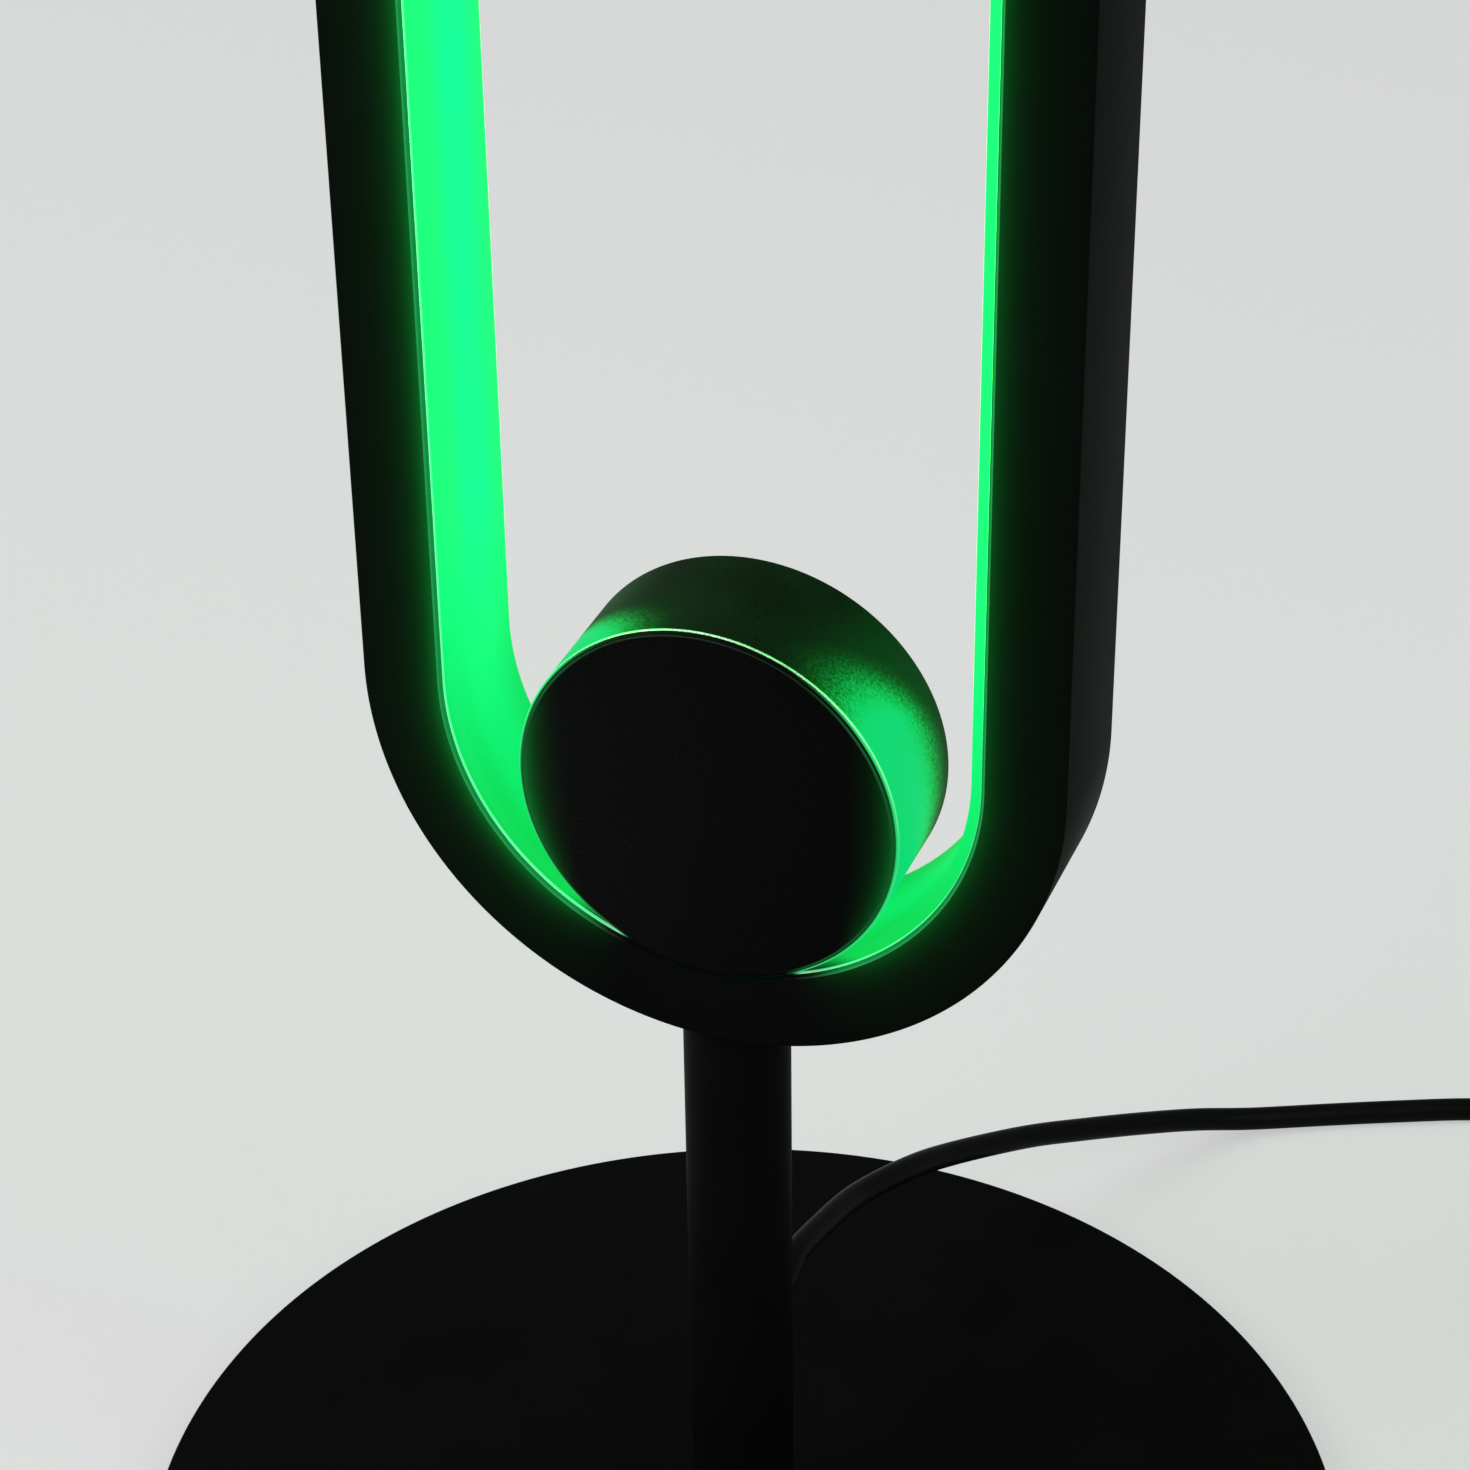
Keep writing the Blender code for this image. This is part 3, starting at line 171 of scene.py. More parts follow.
class Finish:
    """A material whose even values sit on its shader, and whose changing ones come from nodes."""

    def __init__(self, name, colour, roughness, metallic=0.0, **even):
        self.material = bpy.data.materials.new(name)
        self.material.use_nodes = True
        self.tree = self.material.node_tree
        self.shader = self.tree.nodes["Principled BSDF"]
        self.colour = colour
        self.put("Base Color", colour)
        self.put("Roughness", roughness)
        self.put("Metallic", metallic)
        for socket, value in even.items():
            self.put(socket.replace("_", " "), value)
        self.material.diffuse_color = (*colour, 1.0)
        self.place = self.node("ShaderNodeTexCoord", output="Object")

    def put(self, socket, value):
        self.join(value, self.shader.inputs[socket])

    def fed(self, socket):
        """What already feeds a socket of the shader."""
        return Value(self, self.shader.inputs[socket].links[0].from_socket)

    def join(self, value, socket):
        """Feeds a socket from a node, or sets it to a number or a colour."""
        if isinstance(value, Value):
            self.tree.links.new(value.socket, socket)
        else:
            socket.default_value = (*value, 1.0) if isinstance(value, tuple) else value

    def node(self, kind, settings=None, inputs=None, output=0):
        made = self.tree.nodes.new(kind)
        for key, value in (settings or {}).items():
            setattr(made, key, value)
        for key, value in (inputs or {}).items():
            self.join(value, made.inputs[key])
        return Value(self, made.outputs[output])

    def noise(self, scale, detail=3.0, roughness=0.55):
        inputs = {"Vector": self.place, "Scale": scale, "Detail": detail, "Roughness": roughness}
        return self.node("ShaderNodeTexNoise", None, inputs)

    def axis(self, letter):
        return self.node("ShaderNodeSeparateXYZ", None, {0: self.place}, letter)

    def blend(self, share, first, second):
        """A colour between two, by a share from 0 to 1."""
        inputs = {0: share, 6: first, 7: second}
        return self.node("ShaderNodeMix", {"data_type": "RGBA"}, inputs, 2)

    def shade(self, share, low, high):
        """The finish's own colour, times a factor that the share moves from low to high."""
        dark = tuple(channel * low for channel in self.colour)
        light = tuple(min(1.0, channel * high) for channel in self.colour)
        self.put("Base Color", self.blend(share, dark, light))

    def bump(self, height, depth):
        """A bump from a height of 0 to 1 that stands for this depth in metres."""
        inputs = {"Height": height, "Distance": depth, "Strength": 1.0}
        self.put("Normal", self.node("ShaderNodeBump", None, inputs))


# %% [markdown]
# Powder coat is baked plastic dust: deep matt black, with an orange peel about a millimetre across and a
# few hundredths deep. Noise of that size makes the bump, and a little of it also moves the roughness, so
# that the sheen breaks up. On sharp corners the coat is worn thin, and a painted highlight lies there:
# green-tinted bare metal that draws a fine bright line round the channel's inner edge and the drum's
# front. The drum is cast: its wall has a satin coat over a sand-like grain, and its front face is matt. In
# a pale room the diffuser's green light on black would drown, so it is painted on as a faint emission: a
# little on both sides of the drum's wall, most on its front and lower parts, thin painted glints on the
# bright edges, and a soft painted glow beside the window, which is half as bright 2.5 mm away.

# %% Black coats
COAT_BLACK = (0.0022, 0.0025, 0.0023)
CAST_BLACK = (0.0032, 0.0046, 0.0040)
# Painted highlight: a bright, green-tinted metal for the corners' glint, and its roughness.
RUBBED_GLINT = (0.50, 0.58, 0.54)
RUBBED_GLINT_ROUGHNESS = 0.24
ORANGE_PEEL = (700.0, 0.00003)
FINE_GRAIN = (3200.0, 0.000012)
channel_low, channel_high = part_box("loop_channel")
drum_low, drum_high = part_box("drum_housing")
HALF_WIDTH = channel_high.x
LOW_ARC = channel_low.z + HALF_WIDTH
HIGH_ARC = channel_high.z - HALF_WIDTH
HALF_DEPTH = channel_high.y
CHANNEL_HEIGHT = 0.0191
CHANNEL_WALL = 0.0018
WINDOW_RADIUS = HALF_WIDTH - CHANNEL_HEIGHT
OUTER_EDGE = 0.0006
LIP = 0.0009
DRUM_RADIUS = (drum_high.x - drum_low.x) / 2
DRUM_HEIGHT = (drum_high.z + drum_low.z) / 2
DRUM_FRONT = -drum_low.y
DRUM_BEVEL = 0.0011
FACE_RADIUS = DRUM_RADIUS - DRUM_BEVEL
WALL_FRONT = DRUM_FRONT - DRUM_BEVEL
HALO_WIDTH = 0.0025
FOOT_TOP = LOW_ARC - 0.050
TIP_LINES = (0.0195, 0.0235)
TIP_LIP = (0.0235, 0.036)
TIP_GLINT = (0.024, 0.028)
LIT_FRONT = 0.011
LIT_HEIGHTS = (DRUM_RADIUS * 0.56, DRUM_RADIUS)
LIT_DEPTHS = (-0.0165, 0.0035)
LIGHT_SLANT = 30.0
LEFT_SLANT = 32.0
LEFT_REACH = 0.34


def powder_coat(name, colour, level, peel, grain, roughness, speckle=(0.75, 1.3)):
    """Orange peel and grain: two noises, each with its count per metre and its depth in metres. The grain
    and a soft cloud also move the colour, from the speckle's low factor to its high one."""
    finish = Finish(name, colour, roughness, Specular_IOR_Level=level)
    peel_noise = finish.noise(peel[0], 2.0)
    grain_noise = finish.noise(grain[0], 3.0, 0.65)
    cloud = finish.noise(28.0, 2.0)
    whole = peel[1] + grain[1]
    finish.shade(cloud.ramp(0.3, 0.7) * 0.4 + grain_noise.ramp(0.3, 0.7) * 0.6, *speckle)
    finish.put("Roughness", roughness - 0.06 + grain_noise * 0.08 + cloud * 0.05)
    finish.bump(peel_noise * (peel[1] / whole) + grain_noise * (grain[1] / whole), whole)
    return finish


def rub_bright_glint(finish, share, metal):
    """Lays green-tinted bare metal by a share, over what is metal already: a painted highlight on worn
    corners.
    """
    rough = finish.fed("Roughness")
    finish.put("Base Color", finish.blend(share, finish.fed("Base Color"), RUBBED_GLINT))
    finish.put("Roughness", rough + share * (RUBBED_GLINT_ROUGHNESS - rough))
    finish.put("Metallic", share.at_least(metal))


def halo(distance):
    """How light falls off on a coat: 1 / (1 + (d / w)^2), so a half at the distance w."""
    share = distance * (1.0 / HALO_WIDTH)
    return 1.0 / (share * share + 1.0)


def strip_light(finish, parts):
    """Painted green light on the coat beside the diffuser, laid on as emission: a list of (share, colour),
    each laid over the last.
    """
    light = (0.0, 0.0, 0.0)
    for share, colour in parts:
        light = finish.blend(share, light, colour)
    finish.put("Emission Color", light)
    finish.put("Emission Strength", 1.0)


def loop_coat():
    """The loop's coat, with a painted highlight of bright metal where the channel's wall ends at the window.
    In the foot, beside the drum, the painted bright lines begin at the two tips of the lit strip, and the
    one on the lip thins out before them."""
    finish = powder_coat("loop_coat", COAT_BLACK, 0.008, ORANGE_PEEL, FINE_GRAIN, 0.5)
    x, y, z = (finish.axis(letter) for letter in "XYZ")
    past_legs = (z - HIGH_ARC).at_least(LOW_ARC - z).at_least(0.0)
    radius = (x * x + past_legs * past_legs).root()
    rim = abs(y) > HALF_DEPTH - CHANNEL_WALL - 0.0001
    end = 1.0 - radius.ramp(WINDOW_RADIUS + 0.00005, WINDOW_RADIUS + 0.00015)
    corner = radius.band(WINDOW_RADIUS + LIP * 0.75, WINDOW_RADIUS + LIP * 1.15, 0.00008)
    wear_and_glint = finish.noise(120.0, 2.0).ramp(0.25, 0.6)
    foot = 1.0 - z.ramp(FOOT_TOP - 0.005, FOOT_TOP)
    clear = rim * (1.0 - foot * (1.0 - abs(x).ramp(*TIP_LINES)))
    thinned = 1.0 - foot * (1.0 - abs(x).ramp(*TIP_LIP))
    silver_glint = foot * (1.0 - abs(x).ramp(*TIP_GLINT))
    # Painted highlight: bright metal at the wall's end by the window, patchy, and kept clear of the foot.
    rub_bright_glint(finish, end.at_least(corner * 0.03) * (0.6 + wear_and_glint * 0.4) * clear, 0.0)
    from_edge = radius - WINDOW_RADIUS
    lip = 1.0 - from_edge.ramp(LIP * 0.7, LIP * 1.2)
    tips = (z < LOW_ARC) * (1.0 - abs(x).ramp(0.020, 0.045))
    left_more = 1.0 - x.ramp(-0.03, 0.03) * 0.45
    # Painted light, laid on as emission: a glow beside the window, stronger on the left and gone at the tips;
    # green glints on the lip, the corner and the wall's end; and a silver glint at each tip in the foot.
    parts = [
        (halo(from_edge) * left_more * (1.0 - tips), (0.0008, 0.125, 0.014)),
        (lip * clear * thinned, (0.003, 0.25, 0.050)),
        (corner * clear * thinned, (0.006, 0.30, 0.06)),
        (end * clear, (0.06, 0.70, 0.25)),
        (end * clear * silver_glint, (0.20, 0.42, 0.27)),
    ]
    strip_light(finish, parts)
    return finish


def drum_coat():
    """The drum's coat: satin and grainy on the wall, matt on the front face, with a painted highlight of
    bright metal at both corners of the bevel between them, stronger towards the top. The wall has painted
    green light up to a height that falls with the square of the distance from a line near its front, and
    that is greater there on the left."""
    speckle = (0.35, 1.9)
    finish = powder_coat("drum_coat", CAST_BLACK, 0.022, (900.0, 0.00003), (2100.0, 0.00020), 0.48, speckle)
    x, y, z = (finish.axis(letter) for letter in "XYZ")
    up = z - DRUM_HEIGHT
    radius = (x * x + up * up).root()
    front = 0.0 - y

    def across_bevel(distance, corner, low, high, soft):
        """A band round a corner, in shares of the bevel's width."""
        return distance.band(corner + DRUM_BEVEL * low, corner + DRUM_BEVEL * high, soft)

    face = 1.0 - radius.ramp(FACE_RADIUS - DRUM_BEVEL * 0.05, FACE_RADIUS + DRUM_BEVEL * 0.05)
    face = face * (front > 0.0)
    chamfer = front.ramp(WALL_FRONT - DRUM_BEVEL * 0.1, WALL_FRONT + DRUM_BEVEL * 0.1)
    matt = face.at_least(chamfer)
    rim = radius > FACE_RADIUS
    clear = abs(x).ramp(0.018, 0.024).at_least(up.ramp(-0.01, 0.0))
    wear_and_glint = finish.noise(120.0, 2.0).ramp(0.25, 0.6)
    outer = across_bevel(front, WALL_FRONT, -0.2, 0.2, 0.00008) * rim
    inner = across_bevel(radius, FACE_RADIUS, -0.15, 0.1, 0.00008) * chamfer
    # Painted highlight on the bevel's corners: full at the drum's top, a fifth of it below the middle.
    share = (outer * (0.6 + wear_and_glint * 0.3)).at_least(inner * 0.03) * clear * (0.2 + up.ramp(-0.005, 0.028) * 0.8)
    finish.put("Base Color", finish.blend(matt, finish.fed("Base Color"), COAT_BLACK))
    rub_bright_glint(finish, share, matt)
    beside = (1.0 - up.ramp(DRUM_RADIUS * 0.52, DRUM_RADIUS * 0.90)) * clear
    left = (abs(x) - x) * 0.5
    behind = LIT_FRONT - front
    slanted = up + behind * behind * LIGHT_SLANT + left * (behind * LEFT_SLANT - LEFT_REACH)
    fade = 1.0 - slanted.ramp(*LIT_HEIGHTS)
    lit_wall = fade * fade * front.ramp(*LIT_DEPTHS)
    # The painted green light on the wall is speckled by a fine noise, most where it is half bright.
    grain = finish.noise(1400.0, 2.0, 0.6).ramp(0.3, 0.7) - 0.5
    lit_wall = lit_wall + grain * 1.4 * (lit_wall * (1.0 - lit_wall))
    outer_rim = across_bevel(front, WALL_FRONT, -0.25, 0.5, 0.0001) * rim
    inner_rim = across_bevel(radius, FACE_RADIUS, -0.35, 0.15, 0.0001) * chamfer
    near = abs(x).ramp(0.030, 0.044) * (1.0 - up.ramp(-0.005, 0.030)) * (1.0 - x.ramp(-0.03, 0.03) * 0.4)
    wall_only = 1.0 - matt
    # Painted light, laid on as emission: a glow round the front face's lower sides, stronger on the left; a
    # faint green on both sides of the wall; the painted green light on the wall; and green glints on the
    # bevel's two corners beside the diffuser.
    parts = [
        (halo(DRUM_RADIUS - radius) * near * matt, (0.0008, 0.19, 0.022)),
        (abs(x).ramp(0.018, 0.040) * wall_only, (0.001, 0.045, 0.006)),
        (lit_wall * wall_only, (0.003, 0.66, 0.06)),
        (lit_wall * lit_wall * wall_only, (0.003, 0.68, 0.17)),
        (inner_rim * beside, (0.004, 0.08, 0.02)),
        (outer_rim * beside, (0.02, 0.64, 0.17)),
    ]
    strip_light(finish, parts)
    return finish


coat = powder_coat("powder_coat", COAT_BLACK, 0.012, ORANGE_PEEL, FINE_GRAIN, 0.5)
plate_coat = powder_coat("plate_coat", COAT_BLACK, 0.02, (520.0, 0.00004), (2400.0, 0.00002), 0.5)
cover_coat = powder_coat("cover_coat", COAT_BLACK, 0.08, (900.0, 0.00003), (2100.0, 0.00005), 0.40)
channel_coat = loop_coat()
cast_coat = drum_coat()
print("coats:", len(bpy.data.materials))

# %% [markdown]
# The diffuser is frosted acrylic with a strip of chips behind it. It is so much brighter than the room
# that its face looks flat: only soft clouds and a slightly yellower green down its two sides. It dims in
# its foot, and its tips are dark, where the strip of chips ends. The light is an even emission strength
# times an emission colour, which changes with the object's Y and Z and with a large soft noise.

# %% Lit diffuser
GLOW_FACE = (0.00014, 1.0, 0.0132)
GLOW_CLOUD = (0.00028, 0.80, 0.0112)
GLOW_SIDE = (0.0005, 0.20, 0.0082)
GLOW_BEND = (0.0002, 0.041, 0.0096)
GLOW_FOOT = (0.0002, 0.0255, 0.0032)
GLOW_TIP = (0.0001, 0.0008, 0.0004)
GLOW_STRENGTH = 24.0
BEND_HEIGHTS = (0.268, 0.300)
FOOT_HEIGHTS = (0.206, 0.285)
TIP_HEIGHTS = (0.2005, 0.2066)


def lit_acrylic(name, half_width):
    """Frosted acrylic lit from behind, a little yellower towards its two long sides, dimmer in its foot."""
    finish = Finish(name, (0.002, 0.10, 0.02), 0.6, Specular_IOR_Level=0.02, Emission_Strength=GLOW_STRENGTH)
    aside = abs(finish.axis("Y"))
    cloud = finish.noise(14.0, 2.0).ramp(0.35, 0.7)
    frost = finish.noise(1600.0, 2.0)
    side = aside.ramp(half_width * 0.15, half_width * 0.97)
    height = finish.axis("Z")
    bend, foot, tip = (1.0 - height.ramp(*reach) for reach in (BEND_HEIGHTS, FOOT_HEIGHTS, TIP_HEIGHTS))
    glow = finish.blend(cloud, GLOW_FACE, GLOW_CLOUD)
    glow = finish.blend(side, glow, GLOW_SIDE)
    glow = finish.blend(bend, glow, GLOW_BEND)
    low = foot * (0.65 + side * 0.35) + (1.0 - foot) * side * 0.2
    glow = finish.blend(low * bend, glow, GLOW_FOOT)
    finish.put("Emission Color", finish.blend(tip, glow, GLOW_TIP))
    finish.shade(frost, 0.8, 1.2)
    finish.bump(frost, 0.00001)
    return finish


diffuser_low, diffuser_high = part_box("diffuser")
lit = lit_acrylic("lit_acrylic", diffuser_high.y)
print(f"diffuser: {1000 * (diffuser_high.y - diffuser_low.y):.1f} mm across")

# %% [markdown]
# The remaining finishes are those of bought parts: PVC cord sheath, moulded plastic, rubber, foam, zinc
# plate, brass, circuit board and insulation. Each one has the one feature that tells it apart, such as
# the cells of foam or the traces of a board.


# %% Other finishes
def moulded(name, colour, roughness, scale, depth, level=0.4):
    """Moulded plastic or rubber, with the fine even texture of its tool."""
    finish = Finish(name, colour, roughness, Specular_IOR_Level=level)
    texture = finish.noise(scale, 2.0, 0.5)
    finish.shade(texture * 0.5 + finish.noise(60.0) * 0.5, 0.8, 1.25)
    finish.put("Roughness", roughness - 0.05 + texture * 0.1)
    finish.bump(texture, depth)
    return finish


def plated(name, colour, roughness, scale):
    """Plated or turned metal: faint cloudy patches, and not quite even."""
    finish = Finish(name, colour, roughness, 1.0)
    cloud = finish.noise(scale, 4.0)
    finish.shade(cloud, 0.82, 1.1)
    finish.put("Roughness", roughness - 0.08 + cloud * 0.16)
    finish.bump(finish.noise(scale * 14, 2.0), 0.000004)
    return finish


def foam(name):
    """Closed-cell foam: small round cells, each a dip, darker towards its middle as painted shade."""
    finish = Finish(name, (0.02, 0.02, 0.021), 0.95, Specular_IOR_Level=0.2)
    cells = finish.node("ShaderNodeTexVoronoi", {}, {"Vector": finish.place, "Scale": 900.0})
    # Painted shade: each cell is darker in its dip.
    finish.shade(cells, 0.6, 1.3)
    finish.bump(cells, 0.00015)
    return finish


def board(name):
    """A circuit board: thin copper traces under green lacquer."""
    finish = Finish(name, (0.012, 0.13, 0.045), 0.35)
    inputs = {"Vector": finish.place, "Scale": 170.0}
    trace = finish.node("ShaderNodeTexVoronoi", {"feature": "DISTANCE_TO_EDGE"}, inputs) < 0.08
    finish.put("Base Color", finish.blend(trace, finish.colour, (0.03, 0.26, 0.09)))
    finish.bump(trace, 0.00003)
    return finish


sheath = moulded("cord_sheath", (0.0032, 0.0036, 0.0034), 0.42, 900.0, 0.00002, 0.03)
rubber = moulded("soft_rubber", (0.0055, 0.0055, 0.0058), 0.6, 1500.0, 0.00003, 0.16)
shell = moulded("switch_shell", (0.008, 0.008, 0.0083), 0.48, 2600.0, 0.00003, 0.2)
knob = moulded("button_plastic", (0.011, 0.011, 0.0115), 0.34, 2600.0, 0.00001, 0.3)
grey = moulded("dark_moulding", (0.06, 0.06, 0.065), 0.45, 1800.0, 0.00002)
white = moulded("white_insulation", (0.74, 0.74, 0.70), 0.42, 1200.0, 0.00002)
strip = moulded("strip_lacquer", (0.80, 0.80, 0.74), 0.40, 700.0, 0.00002)
pad = foam("black_foam")
zinc = plated("zinc_plate", (0.60, 0.61, 0.63), 0.32, 90.0)
brass = plated("turned_brass", (0.70, 0.50, 0.22), 0.30, 120.0)
lacquer = board("board_lacquer")
print("finishes:", len(bpy.data.materials))

# %% [markdown]
# Every new shape but the cord is a grid of points worked out with numpy. `surface` joins its rows and
# columns into faces, closes it where asked, welds its poles and turns its faces outwards. The object
# stays at the origin, so that the finishes read true places.


# %% Mesh helpers
SQUARE = ((-1, -1), (1, -1), (1, 1), (-1, 1))


def surface(name, points, wrap_rows=False, caps=False):
    """A mesh on points of shape (rows, columns, 3), closed round its columns: four neighbours make a face."""
    rows, columns = points.shape[:2]
    index = np.arange(rows * columns).reshape(rows, columns)
    row = np.arange(rows if wrap_rows else rows - 1)[:, None]
    column = np.arange(columns)[None, :]
    next_row = (row + 1) % rows
    next_column = (column + 1) % columns
    round_face = ((row, column), (next_row, column), (next_row, next_column), (row, next_column))
    corners = [index[place] for place in round_face]
    faces = np.stack(np.broadcast_arrays(*corners), axis=-1).reshape(-1, 4).tolist()
    if caps:
        faces += [index[0].tolist(), index[-1].tolist()]
    mesh = bpy.data.meshes.new(name)
    mesh.from_pydata(points.reshape(-1, 3).tolist(), [], faces)
    bm = bmesh.new()
    bm.from_mesh(mesh)
    bmesh.ops.remove_doubles(bm, verts=bm.verts, dist=0.000001)
    bmesh.ops.recalc_face_normals(bm, faces=bm.faces)
    bm.to_mesh(mesh)
    bm.free()
    return mesh


def enter(piece, nodes, body=BODY):
    """Lets a piece ride on its body, in place of its nodes."""
    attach(piece, body)
    if nodes:
        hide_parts(*nodes)


def add_piece(name, points, finish, slot, nodes=(), body=BODY, sharp=34.0, **closing):
    """A surface on these points, with its round faces smooth and its edges sharp from this angle."""
    mesh = surface(name, points, **closing)
    mesh.shade_smooth()
    mesh.set_sharp_from_angle(angle=math.radians(sharp))
    mesh.materials.append(finish.material)
    enter(linked(name, mesh), nodes, body)
    print(f"{name}: {len(mesh.polygons)} faces")


def filleted(corners, radii, steps=4):
    """An outline with rounded corners. A fillet of radius r in a corner of angle a starts r / tan(a / 2)
    before the corner, and its centre lies r / sin(a / 2) from it, along the middle of the corner. An
    outline that is open has the radius 0 at its ends."""
    corners = np.asarray(corners, float)
    radii = np.broadcast_to(np.asarray(radii, float), len(corners))
    points = []
    for place, (corner, radius) in enumerate(zip(corners, radii)):
        if radius == 0:
            points.append(corner[None])
            continue
        before = corners[place - 1] - corner
        after = corners[(place + 1) % len(corners)] - corner
        before /= np.linalg.norm(before)
        after /= np.linalg.norm(after)
        half = math.acos(float(np.clip(before @ after, -1, 1))) / 2
        middle = before + after
        centre = corner + middle / np.linalg.norm(middle) * radius / math.sin(half)
        start = corner + before * radius / math.tan(half) - centre
        end = corner + after * radius / math.tan(half) - centre
        turn = math.pi - 2 * half
        share = np.linspace(0, 1, steps + 1)[:, None]
        arc = (np.sin((1 - share) * turn) * start + np.sin(share * turn) * end) / math.sin(turn)
        points.append(centre + arc)
    return np.concatenate(points)


def turned(outline, steps, axis="Z", centre=(0.0, 0.0, 0.0)):
    """A surface of revolution: x = r cos(a), y = r sin(a) and z = h for each (r, h) of the outline. With
    the axis Y, the same shape is laid so that its height runs towards the front, along -Y."""
    outline = np.asarray(outline, float)
    angle = np.linspace(0, 2 * np.pi, steps, endpoint=False)
    radius = outline[:, 0, None]
    height = np.broadcast_to(outline[:, 1, None], (len(outline), steps))
    x, y = radius * np.cos(angle), radius * np.sin(angle)
    points = np.stack([x, y, height] if axis == "Z" else [x, -height, y], axis=-1)
    return points + np.asarray(centre, float)


# %% [markdown]
# The mains cord is laid before anything else is shaped, because its spare length is what could spread
# too far. It is a round PVC cord 6.5 mm thick: straight out of the bush, over the base in a slack bow,
# down to the floor and on to a foot switch outside the picture. Its centreline is a Catmull-Rom curve
# through a listed route of points, the same route that the solid model follows.

# %% Cord route
CORD_RADIUS = 0.00325
CORD_STEP = 0.003
EXIT_HEIGHT = 0.067
CORD_IN_STEM = 0.0033
BUSH_END = 0.023
SWITCH_X = 0.197
SWITCH_Y = 0.166
SWITCH_REACH = 0.040
CORD_ENTRY = 0.0080
GAP = 0.0003
LEAD_ROUTE = (
    (0.0, CORD_IN_STEM, EXIT_HEIGHT),
    (0.0, BUSH_END, EXIT_HEIGHT),
    (0.0, 0.0300, 0.0671),
    (-0.0008, 0.0390, 0.0675),
    (0.0001, 0.0575, 0.0632),
    (0.0020, 0.0764, 0.0580),
    (0.0079, 0.0985, 0.0515),
    (0.0141, 0.1177, 0.0440),
    (0.0265, 0.1453, 0.0325),
    (0.0380, 0.1646, 0.0240),
    (0.0503, 0.1828, 0.0160),
    (0.0620, 0.1970, 0.0100),
    (0.0755, 0.2085, 0.0055),
    (0.0954, 0.2205, 0.0036),
    (0.1140, 0.2292, 0.0035),
    (0.1327, 0.2372, 0.0035),
    (0.1520, 0.2430, 0.0035),
    (0.1710, 0.2420, 0.0035),
    (0.1870, 0.2335, 0.0041),
    (0.1955, 0.2215, 0.0066),
    (SWITCH_X, SWITCH_Y + SWITCH_REACH + GAP + 2 * CORD_RADIUS, CORD_ENTRY),
    (SWITCH_X, SWITCH_Y + SWITCH_REACH + GAP, CORD_ENTRY),
)


def smooth_line(route, step):
    """A Catmull-Rom curve: between two points p1 and p2, with neighbours p0 and p3, the place at t is half
    of 2 p1 + (p2 - p0) t + (2 p0 - 5 p1 + 4 p2 - p3) t^2 + (3 p1 - p0 - 3 p2 + p3) t^3."""
    knots = np.asarray(route, float)
    knots = np.concatenate([[2 * knots[0] - knots[1]], knots, [2 * knots[-1] - knots[-2]]])
    line = []
    for p0, p1, p2, p3 in zip(knots, knots[1:], knots[2:], knots[3:]):
        pieces = max(1, round(float(np.linalg.norm(p2 - p1)) / step))
        t = (np.arange(pieces) / pieces)[:, None]
        square = (2 * p0 - 5 * p1 + 4 * p2 - p3) * t**2
        cube = (3 * p1 - p0 - 3 * p2 + p3) * t**3
        line.append((2 * p1 + (p2 - p0) * t + square + cube) / 2)
    return np.concatenate([*line, knots[-2:-1]])


def length_of(line):
    return float(np.linalg.norm(np.diff(line, axis=0), axis=1).sum())


def cord_tube(name, line, nodes):
    """A round tube: a curve with a bevel as deep as the cord's radius, and filled ends."""
    data = bpy.data.curves.new(name, "CURVE")
    data.dimensions = "3D"
    data.twist_mode = "MINIMUM"
    spline = data.splines.new("POLY")
    spline.points.add(len(line) - 1)
    spline.points.foreach_set("co", np.column_stack([line, np.ones(len(line))]).ravel())
    spline.use_smooth = True
    data.bevel_depth = CORD_RADIUS
    data.bevel_resolution = 5
    data.use_fill_caps = True
    data.materials.append(sheath.material)
    tube = linked(name, data)
    enter(tube, nodes)
    return tube


lead_line = smooth_line(LEAD_ROUTE, CORD_STEP)
lead_tube = cord_tube("mains_cord", lead_line, ["cord_lead"])
print(f"cord to the switch: {length_of(lead_line):.3f} m")

# %% [markdown]
# The rest of the cord is put away: it winds in and out again as a flat spiral in two layers, and
# climbs from one to the other in the half turn where it turns back. Then it ends in the plug.

# %% Coil and tail
COIL_INNER = 0.0262
COIL_PITCH = 0.0072
TURNS_EACH_WAY = 2.75
COIL_STEPS = 72
COIL_RUN_IN = 0.0285
COIL_LOW = 0.0047
TAIL_ROUTE = (
    (0.2890, 0.1135, 0.0105),
    (0.2890, 0.1220, 0.0086),
    (0.2892, 0.1300, 0.0075),
)
coil_outer = COIL_INNER + COIL_PITCH * TURNS_EACH_WAY
coil_x = SWITCH_X + coil_outer
coil_y = SWITCH_Y - SWITCH_REACH - GAP - COIL_RUN_IN - CORD_RADIUS
plug_low, plug_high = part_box("plug_body")


def coil_line():
    """Radius = inner + pitch |N - n|, after n of 2 N turns; the height rises by one pitch round n = N."""
    n = np.linspace(0, 2 * TURNS_EACH_WAY, round(2 * TURNS_EACH_WAY * COIL_STEPS) + 1)
    radius = COIL_INNER + COIL_PITCH * np.abs(TURNS_EACH_WAY - n)
    climb = np.clip((n - TURNS_EACH_WAY) * 2 + 0.5, 0, 1)
    angle = 2 * np.pi * n
    x, y = coil_x - radius * np.cos(angle), coil_y - radius * np.sin(angle)
    return np.stack([x, y, COIL_LOW + COIL_PITCH * climb], axis=-1)


